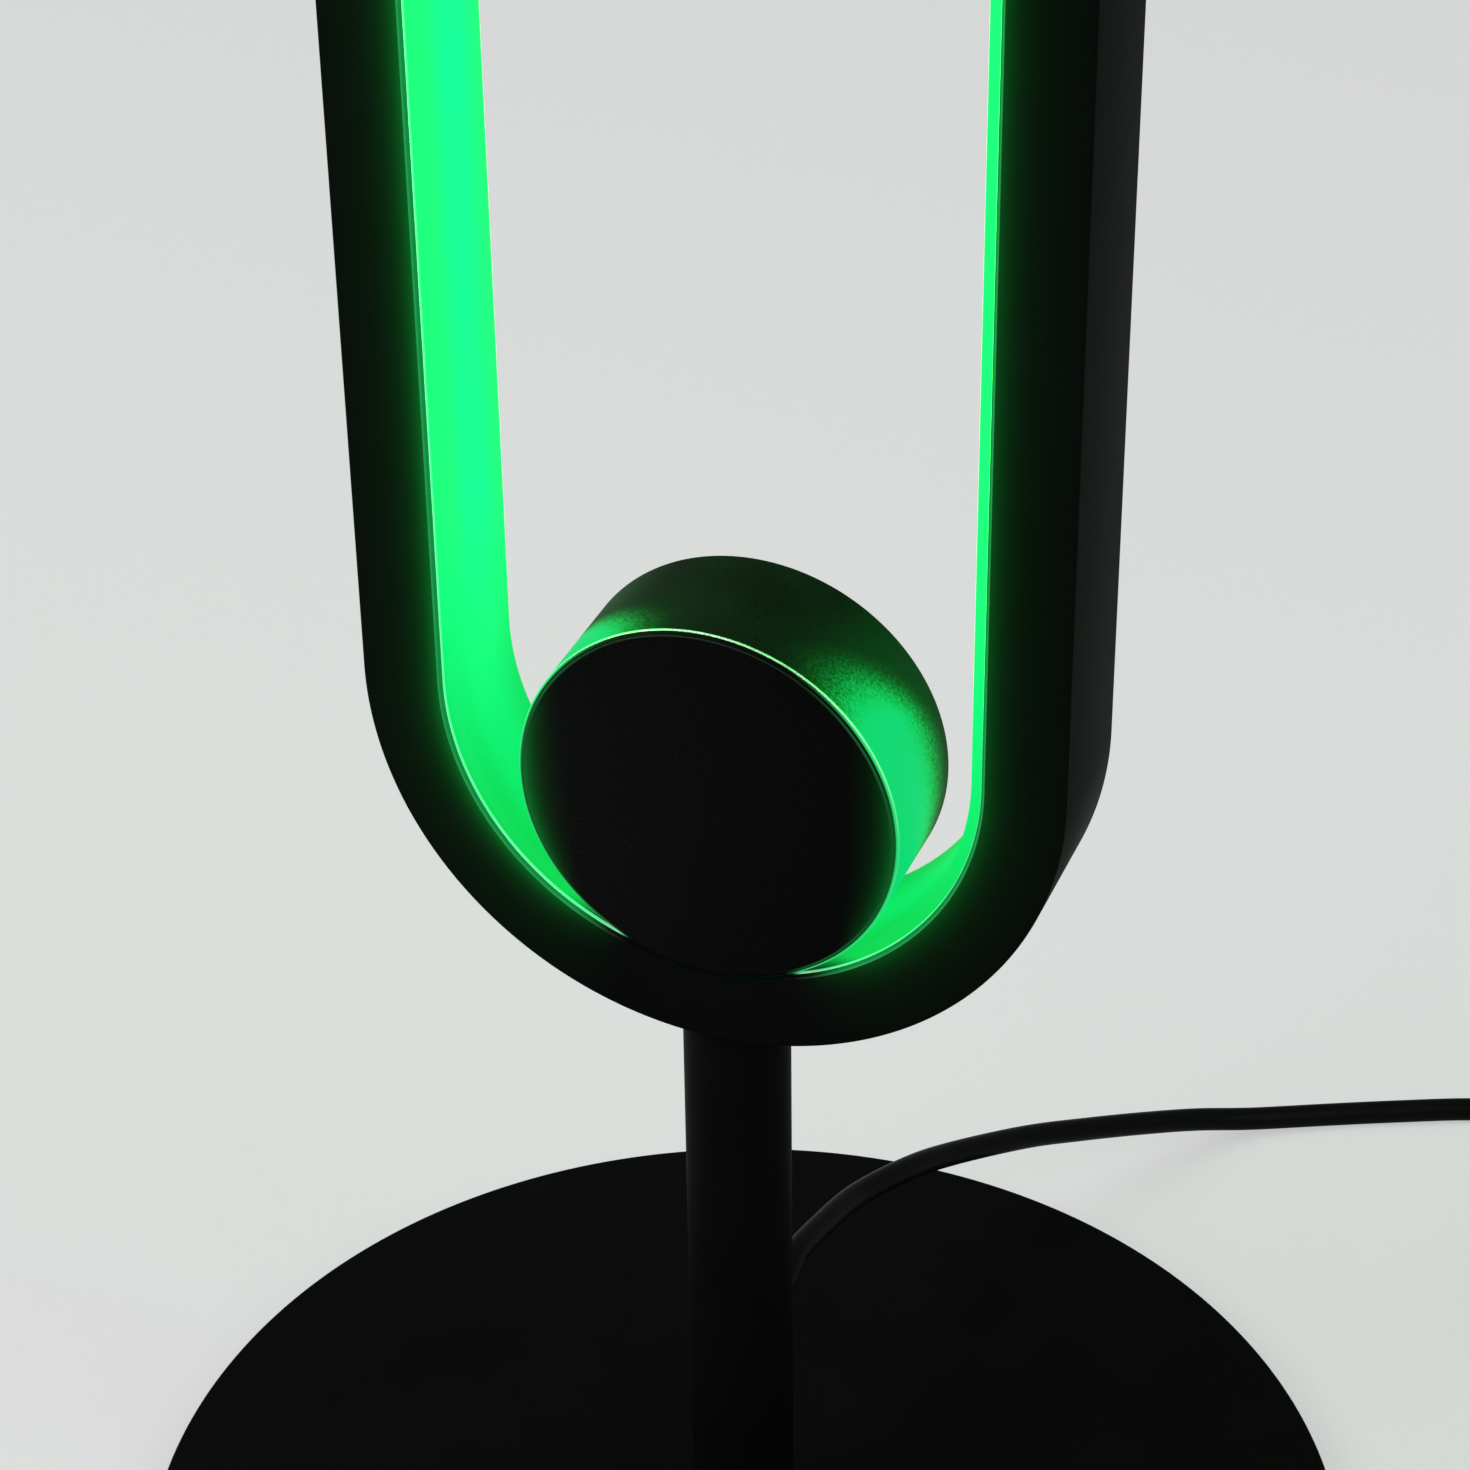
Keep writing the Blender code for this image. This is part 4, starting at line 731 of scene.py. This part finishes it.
coil = coil_line()
leave = np.array((0.0, 2 * CORD_RADIUS, 0.0))
switch_end = np.array((SWITCH_X, SWITCH_Y - SWITCH_REACH - GAP, CORD_ENTRY))
run_in = smooth_line([switch_end, switch_end - leave, coil[0] + leave, coil[0]], CORD_STEP)[:-1]
plug_middle = (plug_low.z + plug_high.z) / 2
tail_end = (TAIL_ROUTE[-1][0], plug_low.y - GAP, plug_middle)
tail = smooth_line([coil[-1], coil[-1] + leave, *TAIL_ROUTE, tail_end], CORD_STEP)[1:]
wound_line = np.concatenate([run_in, coil, tail])
wound_tube = cord_tube("wound_cord", wound_line, ["cord_coil", "cord_tail"])
past_switch = length_of(wound_line)
print(f"cord past the switch: {past_switch:.3f} m, whole cord {length_of(lead_line) + past_switch:.2f} m")

# %% [markdown]
# The loop is one bent U channel, open inwards. Its section is a closed outline in two numbers: outward
# from the window's edge, and across from front to back. It is carried along a racetrack of two straight
# legs and two half circles, so every point is centre + (window radius + outward) x direction. At the
# bottom the drum sits in the window, and the channel's two walls are cut back round it: no point there
# comes nearer to the centre than the drum's edge.

# %% Loop path and channel
def racetrack(skip=0.0, steps=144, leg_steps=24):
    """Centres and outward directions round the loop, from its lowest point to the right. With a skip, the
    path is open and leaves out this angle to either side of the lowest point."""
    quarter = steps // 2
    right_low = np.linspace(-np.pi / 2 + skip, 0, quarter)
    top = np.linspace(0, np.pi, steps)
    left_low = np.linspace(np.pi, 3 * np.pi / 2 - skip, quarter)
    leg = np.linspace(LOW_ARC, HIGH_ARC, leg_steps + 2)[1:-1]
    angle = np.concatenate([right_low, leg * 0, top, leg * 0 + np.pi, left_low])
    heights = [right_low * 0 + LOW_ARC, leg, top * 0 + HIGH_ARC, leg[::-1], left_low * 0 + LOW_ARC]
    height = np.concatenate(heights)
    if not skip:
        angle, height = angle[:-1], height[:-1]
    return height, angle


def carried(section, height, angle, floor=None):
    """The section's points at each step of the path: x = r cos(a), z = centre + r sin(a), y = -across."""
    radius = WINDOW_RADIUS + section[None, :, 0]
    if floor is not None:
        radius = np.maximum(radius, floor[:, None])
    x = radius * np.cos(angle)[:, None]
    z = height[:, None] + radius * np.sin(angle)[:, None]
    y = np.broadcast_to(-section[None, :, 1], x.shape)
    return np.stack([x, y, z], axis=-1)


def drum_edge(height, angle):
    """How far out the drum reaches from the loop's lower centre, seen at each angle from there: with the
    drum's centre c below it, c cos(a) + sqrt(R^2 - (c sin(a))^2), where a is counted from straight down."""
    drop = LOW_ARC - DRUM_HEIGHT
    from_bottom = angle + np.pi / 2
    near_foot = (height <= LOW_ARC) & (np.cos(from_bottom) > 0)
    reach = np.sqrt(np.maximum(0, (DRUM_RADIUS + GAP) ** 2 - (drop * np.sin(from_bottom)) ** 2))
    return np.where(near_foot, drop * np.cos(from_bottom) + reach, 0.0)


wall = HALF_DEPTH - CHANNEL_WALL
web = CHANNEL_HEIGHT - CHANNEL_WALL
outside = [(0.0, HALF_DEPTH - LIP), (LIP, HALF_DEPTH), (CHANNEL_HEIGHT, HALF_DEPTH)]
inside = [(0.0, -wall), (web, -wall), (web, wall), (0.0, wall)]
mirrored = [(out, -aside) for out, aside in reversed(outside)]
outer_radii = [LIP / 4, LIP / 4, OUTER_EDGE]
channel_section = filleted(
    [*outside, *mirrored, *inside],
    [*outer_radii, *reversed(outer_radii), LIP / 4, OUTER_EDGE, OUTER_EDGE, LIP / 4],
)
loop_path = racetrack()
channel_points = carried(channel_section, *loop_path, drum_edge(*loop_path))
add_piece("channel_loop", channel_points, channel_coat, "black_coat", ["loop_channel"], wrap_rows=True)

# %% [markdown]
# The diffuser is a flat strip that stands a little proud of the channel's window. Near the foot it
# narrows to a point on either side, where it meets the drum.

# %% Diffuser
DIFFUSER_THICKNESS = 0.005
DIFFUSER_EDGE = 0.0008
SADDLE_HALF_WIDTH = 0.0143
proud = WINDOW_RADIUS - (diffuser_high.x - DIFFUSER_THICKNESS)
deep = DIFFUSER_THICKNESS - proud
half = diffuser_high.y
diffuser_section = filleted(
    [(-proud, half), (deep, half), (deep, -half), (-proud, -half)],
    [DIFFUSER_EDGE, 0.0, 0.0, DIFFUSER_EDGE],
)
skip = math.asin(SADDLE_HALF_WIDTH / (WINDOW_RADIUS + deep))
strip_path = racetrack(skip)
diffuser_points = carried(diffuser_section, *strip_path, drum_edge(*strip_path))
add_piece("lit_diffuser", diffuser_points, lit, "lit_green", ["diffuser"], caps=True)
print(f"diffuser stands {1000 * proud:.1f} mm proud of the window")

# %% [markdown]
# The drum is a turned cup with its axis front to back. Its front edge has a bevel, so the outline has two
# soft corners there instead of one; the bevel catches the light and carries a painted highlight as a thin
# line.

# %% Drum
DRUM_WALL = 0.0016
back = -drum_high.y
inner = DRUM_RADIUS - DRUM_WALL
drum_outline = filleted(
    [
        (0.0, DRUM_FRONT),
        (FACE_RADIUS, DRUM_FRONT),
        (DRUM_RADIUS, WALL_FRONT),
        (DRUM_RADIUS, back),
        (inner, back),
        (inner, DRUM_FRONT - DRUM_WALL),
        (0.0, DRUM_FRONT - DRUM_WALL),
    ],
    [0.0, DRUM_BEVEL / 4, DRUM_BEVEL / 4, DRUM_WALL / 5, DRUM_WALL / 5, DRUM_WALL / 2, 0.0],
)
drum_points = turned(drum_outline, 180, "Y", (0.0, 0.0, DRUM_HEIGHT))
add_piece("drum", drum_points, cast_coat, "black_coat", ["drum_housing"])

# %% [markdown]
# The stem is a tube whose top is cut to the loop's curve. A point of the rim at (x, y) is as high as the
# loop's outside there: arc centre - sqrt(R^2 - x^2). The other points of the wall keep their share of
# that height. The base is a turned plate with soft edges and a recess for the bolt underneath.

# %% Stem and base
STEM_WALL = 0.0015
stem_low, stem_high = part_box("stem_tube")
STEM_RADIUS = stem_high.x
stem_bore = STEM_RADIUS - STEM_WALL
stem_points = turned([(STEM_RADIUS, 1.0), (STEM_RADIUS, 0.0), (stem_bore, 0.0), (stem_bore, 1.0)], 96)
rim_height = LOW_ARC - np.sqrt((HALF_WIDTH + GAP) ** 2 - stem_points[..., 0] ** 2)
stem_points[..., 2] = stem_low.z + stem_points[..., 2] * (rim_height - stem_low.z)
add_piece("stem", stem_points, coat, "black_coat", ["stem_tube"], wrap_rows=True)

plate_low, plate_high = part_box("base_plate")
BASE_RADIUS = plate_high.x
PLATE_EDGE = 0.0008
RECESS_RADIUS = 0.013
RECESS_DEPTH = 0.005
BOLT_HOLE = 0.0043
plate_outline = filleted(
    [
        (BOLT_HOLE, plate_high.z),
        (BASE_RADIUS, plate_high.z),
        (BASE_RADIUS, plate_low.z),
        (RECESS_RADIUS, plate_low.z),
        (RECESS_RADIUS, plate_low.z + RECESS_DEPTH),
        (BOLT_HOLE, plate_low.z + RECESS_DEPTH),
    ],
    [0.0, PLATE_EDGE, PLATE_EDGE, PLATE_EDGE / 3, 0.0, 0.0],
)
plate_points = turned(plate_outline, 256)
add_piece("base_disc", plate_points, plate_coat, "black_coat", ["base_plate"], wrap_rows=True)

# %% [markdown]
# The bush grips the cord where it leaves the stem: a shoulder, then a taper with three grooves that let
# it bend. Its root follows the stem's round wall, y = sqrt(R^2 - x^2).

# %% Cord bush
BUSH_RADIUS = 0.0058
BUSH_SHOULDER_END = 0.0145
BUSH_EDGE = 0.0002
BUSH_STEP = 0.0003
BUSH_TIP_RADIUS = 0.0045
BUSH_GROOVES = 3
GROOVE_DEPTH = 0.0004
bore = CORD_RADIUS + GAP
taper = np.linspace(0, 1, 40)
groove = GROOVE_DEPTH * np.sin(taper * BUSH_GROOVES * np.pi) ** 8
neck_radius = BUSH_RADIUS - BUSH_STEP
taper_radius = neck_radius + (BUSH_TIP_RADIUS - neck_radius) * taper - groove
taper_place = BUSH_SHOULDER_END + (BUSH_END - BUSH_SHOULDER_END) * taper
shoulder_end = (BUSH_RADIUS, BUSH_SHOULDER_END - BUSH_EDGE)
bush_rows = [
    [(bore, STEM_RADIUS), (BUSH_RADIUS, STEM_RADIUS), shoulder_end],
    np.stack([taper_radius, taper_place], axis=-1),
    [(bore, BUSH_END)],
]
bush_outline = np.concatenate(bush_rows) * (1, -1)
bush_points = turned(bush_outline, 48, "Y", (0.0, 0.0, EXIT_HEIGHT))
bush_points[:2, :, 1] = np.sqrt((STEM_RADIUS + GAP) ** 2 - bush_points[:2, :, 0] ** 2)
add_piece("bush", bush_points, rubber, "black_rubber", ["cord_bush"], wrap_rows=True)

# %% [markdown]
# The foot switch is a stadium: two half circles joined by straight sides. Every row of its shells is a
# ring of some radius, and where the ring's two halves are moved apart it is a stadium. The cover's roof
# runs from the stadium to the round hole for the button, in straight lines between the two outlines.

# %% Foot switch
SWITCH_STEPS = 96
SWITCH_WALL = 0.002
SHELL_EDGE = 0.0045
PARTING_EDGE = (0.0006, 0.0004)
ROOF_EDGE = 0.001
BUTTON_HOLE = 0.013
HOLE_EDGE = ((0.0012, 0.0), (0.0003, 0.0003), (0.0, 0.0012), (0.0, SWITCH_WALL))
FOOT_EDGE = 0.0012
FLOOR_THICKNESS = 0.003
FLOOR_MIDDLE = 0.004
base_low, base_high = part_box("switch_base")
cover_low, cover_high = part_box("switch_cover")
PARTING = base_high.z + GAP
shell_radius = (cover_high.x - cover_low.x) / 2
shell_inside = shell_radius - SWITCH_WALL
straight = SWITCH_REACH - shell_radius
switch_angle = np.linspace(0, 2 * np.pi, SWITCH_STEPS, endpoint=False) + np.pi / SWITCH_STEPS


def rings(rows, apart=0.0):
    """Rings round the switch's middle, each (radius, height), with their halves this far apart in Y."""
    radius, height = np.asarray(rows, float).T[:, :, None]
    x = radius * np.cos(switch_angle)
    y = radius * np.sin(switch_angle) + np.sign(np.sin(switch_angle)) * apart
    return np.stack([x + SWITCH_X, y + SWITCH_Y, height + x * 0], axis=-1)


top = cover_high.z
roof = top - SWITCH_WALL
shoulder = [(shell_radius, PARTING), (shell_radius, top), (0.0, top)]
side = filleted(shoulder, [0.0, SHELL_EDGE, 0.0], 8)
outside = [(shell_radius - PARTING_EDGE[0], PARTING), (shell_radius, PARTING + PARTING_EDGE[1]), *side[1:-1]]
hole = [(BUTTON_HOLE + wider, top - below) for wider, below in HOLE_EDGE]
roof_edge = (shell_inside - ROOF_EDGE, roof - ROOF_EDGE)
inside = [(shell_inside - SHELL_EDGE, roof), roof_edge, (shell_inside, PARTING)]
cover_points = np.concatenate([rings(outside, straight), rings(hole), rings(inside, straight)])
add_piece("switch_top", cover_points, shell, "black_plastic", ["switch_cover"], wrap_rows=True)

low, high = base_low.z, base_high.z
floor_top = low + FLOOR_THICKNESS
side = filleted([(shell_radius, high), (shell_radius, low), (0.0, low)], [0.0, FOOT_EDGE, 0.0])
shell_rows = [*side[-2::-1], (shell_inside, high), (shell_inside, floor_top)]
bottom_rows = [rings([(FLOOR_MIDDLE, low)]), rings(shell_rows, straight), rings([(FLOOR_MIDDLE, floor_top)])]
bottom_points = np.concatenate(bottom_rows)
add_piece("switch_bottom", bottom_points, shell, "black_plastic", ["switch_base"], caps=True)

# %% [markdown]
# The button is turned: a dished top with three raised rings for the shoe, a flange under the cover, and a
# pocket for its spring. The spring is stepped. Its upper turns are narrower, ride on the button and slip
# into the lower turns when it is pressed, so that no turn comes through the button.

# %% Button
button_low, button_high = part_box("switch_button")
BUTTON_RADIUS = 0.0125
BUTTON_SHOULDER = 0.0018
BUTTON_EDGE = 0.0009
CROWN_DROP = 0.0006
CROWN_RISE = 0.0002
RINGS = 3
RING_HEIGHT = 0.00035
FLANGE_RADIUS = 0.0142
FLANGE_THICKNESS = 0.0015
FLANGE_EDGE = 0.0002
SPRING_POCKET = 0.0052
POCKET_ROOF = 0.002
crown = np.linspace(0, 1, 60)
ring = RING_HEIGHT * np.clip(np.sin(crown * RINGS * 2 * np.pi - np.pi / 2), 0, 1) ** 0.5
crown_height = button_high.z - CROWN_DROP + ring + CROWN_RISE * crown**2
crown_outline = np.stack([crown * (BUTTON_RADIUS - BUTTON_SHOULDER), crown_height], axis=-1)
pocket_top = button_high.z - POCKET_ROOF
flange_top = button_low.z + FLANGE_THICKNESS
rest = filleted(
    [
        crown_outline[-1],
        (BUTTON_RADIUS, button_high.z - CROWN_DROP + CROWN_RISE),
        (BUTTON_RADIUS, flange_top),
        (FLANGE_RADIUS, flange_top),
        (FLANGE_RADIUS, button_low.z),
        (SPRING_POCKET, button_low.z),
        (SPRING_POCKET, pocket_top),
        (0.0, pocket_top),
    ],
    [0.0, BUTTON_EDGE, 0.0, FLANGE_EDGE, FLANGE_EDGE, 0.0, 0.0, 0.0],
)[1:]
button_points = turned(np.concatenate([crown_outline, rest]), 96, "Z", (SWITCH_X, SWITCH_Y, 0.0))
add_piece("foot_button", button_points, knob, "black_plastic", ["switch_button"], BUTTON_BODY)

SPRING_WIRE = 0.0004
SPRING_TURNS = 3
SPRING_OVERLAP = 0.0036
SPRING_NEST = 0.00096
spring_low, spring_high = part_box("switch_spring")


def spring_turns(radius, low, high, steps=36, sides=8):
    """A helix of wire: centre (R cos a, R sin a), height rising evenly with a, and round it a ring of
    w cos b outward and w sin b upward. The first and last rings are filled."""
    angle = np.linspace(0, 2 * np.pi * SPRING_TURNS, SPRING_TURNS * steps + 1)[:, None]
    around = np.linspace(0, 2 * np.pi, sides, endpoint=False)[None, :]
    height = np.linspace(low + SPRING_WIRE, high - SPRING_WIRE, len(angle))[:, None]
    reach = radius + SPRING_WIRE * np.cos(around)
    x, y = reach * np.cos(angle), reach * np.sin(angle)
    return np.stack([x + SWITCH_X, y + SWITCH_Y, height + SPRING_WIRE * np.sin(around)], axis=-1)


spring_middle = (spring_low.z + spring_high.z) / 2
wide_radius = (spring_high.y - spring_low.y) / 2 - SPRING_WIRE
wide_turns = spring_turns(wide_radius, spring_low.z, spring_middle + SPRING_OVERLAP / 2)
narrow_turns = spring_turns(wide_radius - SPRING_NEST, spring_middle - SPRING_OVERLAP / 2, spring_high.z)
add_piece("spring_wide", wide_turns, zinc, "zinc", ["switch_spring"], caps=True)
add_piece("spring_narrow", narrow_turns, zinc, "zinc", body=BUTTON_BODY, caps=True)

# %% [markdown]
# The plug's body is a row of superellipses, |x / w|^n + |z / h|^n = 1, that grow from the cord to the
# pins. Its sides have shallow ribs for the fingers. The pins are turned, with an insulated root.

# %% Plug
NICKEL = (0.62, 0.60, 0.56)
SLEEVE_BLACK = (0.015, 0.015, 0.016)
SLEEVE_LENGTH = 0.010
PIN_TIP = 0.0015
PLUG_TAIL_HALF = (0.0058, 0.0048)
PLUG_GROWTH = 0.9
PLUG_ROUNDNESS = 4.0
PLUG_END = 0.965
PLUG_END_DROP = 0.07
PLUG_RIB_DEPTH = 0.0004
PLUG_RIB_WAVES = 7.2
PLUG_RIBBED = (0.2, 0.72)
plug_x = (plug_low.x + plug_high.x) / 2
plug_half = ((plug_high.x - plug_low.x) / 2, (plug_high.z - plug_low.z) / 2)
along = np.linspace(0, 1, 64)[:, None]
turn = np.linspace(0, 2 * np.pi, 72, endpoint=False)
rounding = 1 - PLUG_END_DROP * (1 - np.sqrt(1 - np.clip((along - PLUG_END) / (1 - PLUG_END), 0, 1) ** 2))
ribbed = (along > PLUG_RIBBED[0]) & (along < PLUG_RIBBED[1])
rib = PLUG_RIB_DEPTH * np.clip(np.sin(along * PLUG_RIB_WAVES * 2 * np.pi), 0, 1) * ribbed
half_x, half_z = (
    (tail_half + (end_half - tail_half) * along**PLUG_GROWTH) * rounding
    for tail_half, end_half in zip(PLUG_TAIL_HALF, plug_half)
)
circle_x, circle_z = (
    np.sign(wave) * np.abs(wave) ** (2 / PLUG_ROUNDNESS) for wave in (np.cos(turn), np.sin(turn))
)
plug_y = plug_low.y + (plug_high.y - plug_low.y) * along + turn * 0
plug_sides = [plug_x + (half_x - rib) * circle_x, plug_y, plug_middle + half_z * circle_z]
plug_points = np.stack(plug_sides, axis=-1)
add_piece("plug", plug_points, shell, "black_plastic", ["plug_body"], sharp=50.0, caps=True)


def pin_finish(name, sleeve_end):
    """Nickel, with a black insulating sleeve up to a place along Y."""
    finish = Finish(name, NICKEL, 0.25, 1.0)
    bare = finish.axis("Y") > sleeve_end
    scuff = finish.noise(400.0)
    finish.put("Base Color", finish.blend(bare, SLEEVE_BLACK, NICKEL))
    finish.put("Metallic", bare)
    finish.put("Roughness", 0.5 - bare * 0.25 + scuff * 0.08)
    return finish


pin_low, pin_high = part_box("plug_pin_1")
pin_radius = (pin_high.x - pin_low.x) / 2
pins = pin_finish("plug_pins", pin_low.y + SLEEVE_LENGTH)
pin_outline = filleted(
    [(0.0, -pin_high.y), (pin_radius, -pin_high.y), (pin_radius, -pin_low.y), (0.0, -pin_low.y)],
    [0.0, PIN_TIP, 0.0, 0.0],
    8,
)
for number in (1, 2):
    low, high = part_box(f"plug_pin_{number}")
    pin_points = turned(pin_outline, 32, "Y", ((low.x + high.x) / 2, 0.0, plug_middle))
    add_piece(f"pin_{number}", pin_points, pins, "zinc", [f"plug_pin_{number}"])

# %% [markdown]
# The tie is a flat strap round the coil's bundle. Its outline in the upright plane is a rounded box, and
# its section is the strap's thin width, so it is swept like the channel, with the box in place of the loop.

# %% Coil tie
TIE_THICKNESS = 0.0008
TIE_EDGE = 0.00015
TIE_CORNER = 0.0035
outer_side = [(0.0, -0.9), (0.0, 0.9), (TIE_EDGE, 1.0)]
inner_side = [(TIE_THICKNESS, 1.0), (TIE_THICKNESS, -1.0), (TIE_EDGE, -1.0)]
tie_low, tie_high = (np.array(corner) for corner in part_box("coil_tie"))
tie_middle = (tie_low + tie_high) / 2
tie_half = (tie_high - tie_low) / 2
tie_rows = []
for inset, aside in [*outer_side, *inner_side]:
    strap = filleted(np.array(SQUARE) * (tie_half[1:] - inset), TIE_CORNER - inset, 8)
    beside = np.full((len(strap), 1), aside * tie_half[0])
    tie_rows.append(tie_middle + np.hstack([beside, strap]))
add_piece("tie", np.stack(tie_rows), rubber, "black_rubber", ["coil_tie"], wrap_rows=True)

# %% [markdown]
# Screws that show at the back have a hexagon socket. A hexagon in polar form has the radius
# a / cos(angle - nearest flat's middle), so the socket is turned like the rest with its radius changed.

# %% Cover screws
SCREW_SOCKET = 0.0012
SOCKET_DEPTH = 0.0007
SCREW_HEAD = 0.001
HEAD_EDGE = 0.0003
SCREW_SHANK = 0.0013
sector = np.linspace(0, 2 * np.pi, 48, endpoint=False)
hexagon = math.cos(math.pi / 6) / np.cos((sector + math.pi / 6) % (math.pi / 3) - math.pi / 6)
for number in (1, 2, 3):
    low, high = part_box(f"cover_screw_{number}")
    centre = np.array(((low.x + high.x) / 2, 0.0, (low.z + high.z) / 2))
    head_radius = (high.x - low.x) / 2
    face, end = -high.y, -low.y
    section = [(0.0, face + SOCKET_DEPTH), (SCREW_SOCKET, face + SOCKET_DEPTH), (SCREW_SOCKET, face)]
    section += [(head_radius, face), (head_radius, face + SCREW_HEAD), (SCREW_SHANK, face + SCREW_HEAD)]
    section += [(SCREW_SHANK, end), (0.0, end)]
    outline = filleted(section, [0.0, 0.0, 0.0, HEAD_EDGE, 0.0, 0.0, 0.0, 0.0])
    screw_points = turned(outline, len(sector), "Y", centre)
    socket = screw_points[1:3, :, [0, 2]] - centre[[0, 2]]
    screw_points[1:3, :, [0, 2]] = centre[[0, 2]] + socket * hexagon[:, None]
    add_piece(f"cover_bolt_{number}", screw_points, zinc, "zinc", [f"cover_screw_{number}"])

# %% [markdown]
# The other pieces keep their own shape and only take a finish. Most are inside the drum, the stem or the
# switch, and show when the lamp is taken apart.

# %% Finishes of the pieces that keep their shape
KEPT = {
    cover_coat: "drum_cover",
    pad: "base_pad",
    zinc: (
        "base_bolt base_washer stem_foot_plug stem_head_plug drum_saddle "
        "board_screw_1 board_screw_2 board_screw_3 switch_screw_1 switch_screw_2"
    ),
    brass: "hollow_nipple nipple_nut",
    white: "inner_lead strip_lead terminal_block",
    strip: "led_strip",
    lacquer: "driver_board",
    grey: "driver_transformer driver_capacitor driver_chip switch_contact",
}
dressed = [(name, finish) for finish, names in KEPT.items() for name in names.split()]
for name, finish in dressed:
    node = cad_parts[name]
    node.data.materials.clear()
    node.data.materials.append(finish.material)
print("kept:", len(dressed), "pieces")

# %% [markdown]
# The names of the two cords are printed.

print("cords:", lead_tube.name, wound_tube.name)

# %% [markdown]
# The lamp stands on a plain pale floor in soft light: one wide lamp above and to the front, one weaker
# from the side, and an even world. The lamp's own light comes from the diffuser. Both floor and world
# look paler to the camera than they are to the lamp, by the Light Path node, so the blacks stay deep and
# the floor keeps only part of the green light, but still shows the lamp's shadow.

# %% Floor, lights and world
FLOOR_PALE = (0.78, 0.79, 0.785)
FLOOR_SEEN = (0.70, 0.71, 0.705)
SKY_SEEN = (0.60, 0.61, 0.605)
SKY_LIGHT = (0.30, 0.305, 0.305)
SEEN_SHARE = 0.7
FLOOR_HALF = 40.0
floor_mesh = bpy.data.meshes.new("floor")
floor_mesh.from_pydata([(x * FLOOR_HALF, y * FLOOR_HALF, 0.0) for x, y in SQUARE], [], [(0, 1, 2, 3)])
floor = linked("floor", floor_mesh)
floor_finish = Finish("pale_floor", FLOOR_PALE, 0.7, Specular_IOR_Level=0.2)
even_glow = floor_finish.node("ShaderNodeEmission", None, {"Color": FLOOR_SEEN, "Strength": 1.0})
camera_ray = floor_finish.node("ShaderNodeLightPath", output="Is Camera Ray")
lit_floor = Value(floor_finish, floor_finish.shader.outputs[0])
shaders = {0: camera_ray * SEEN_SHARE, 1: lit_floor, 2: even_glow}
both = floor_finish.node("ShaderNodeMixShader", None, shaders)
floor_finish.join(both, floor_finish.tree.nodes["Material Output"].inputs["Surface"])
floor_mesh.materials.append(floor_finish.material)
floor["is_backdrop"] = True


def soft_light(name, place, aim, width, power):
    """A square area light that looks from its place to its aim."""
    data = bpy.data.lights.new(name, "AREA")
    data.shape = "SQUARE"
    data.size = width
    data.energy = power
    light = linked(name, data)
    light.location = place
    light.rotation_mode = "QUATERNION"
    light.rotation_quaternion = (Vector(aim) - Vector(place)).to_track_quat("-Z", "Y")


soft_light("key_light", (-1.9, -1.7, 2.6), (0.0, 0.0, 0.3), 2.2, 100.0)
soft_light("fill_light", (2.4, -0.6, 2.2), (0.0, 0.0, 0.4), 2.0, 34.0)

world = bpy.data.worlds.new("studio")
world.use_nodes = True
tree = world.node_tree
seen = tree.nodes.new("ShaderNodeLightPath")
sky = tree.nodes.new("ShaderNodeMix")
sky.data_type = "RGBA"
sky.inputs[6].default_value = (*SKY_LIGHT, 1.0)
sky.inputs[7].default_value = (*SKY_SEEN, 1.0)
tree.links.new(seen.outputs["Is Camera Ray"], sky.inputs[0])
tree.links.new(sky.outputs[2], tree.nodes["Background"].inputs["Color"])
scene.world = world
scene.view_settings.view_transform = "Standard"
print("lights:", len(bpy.data.lights))

# %% Print the visual box
low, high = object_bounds()
print("visual box:", [round(v, 4) for v in (*low, *high)])
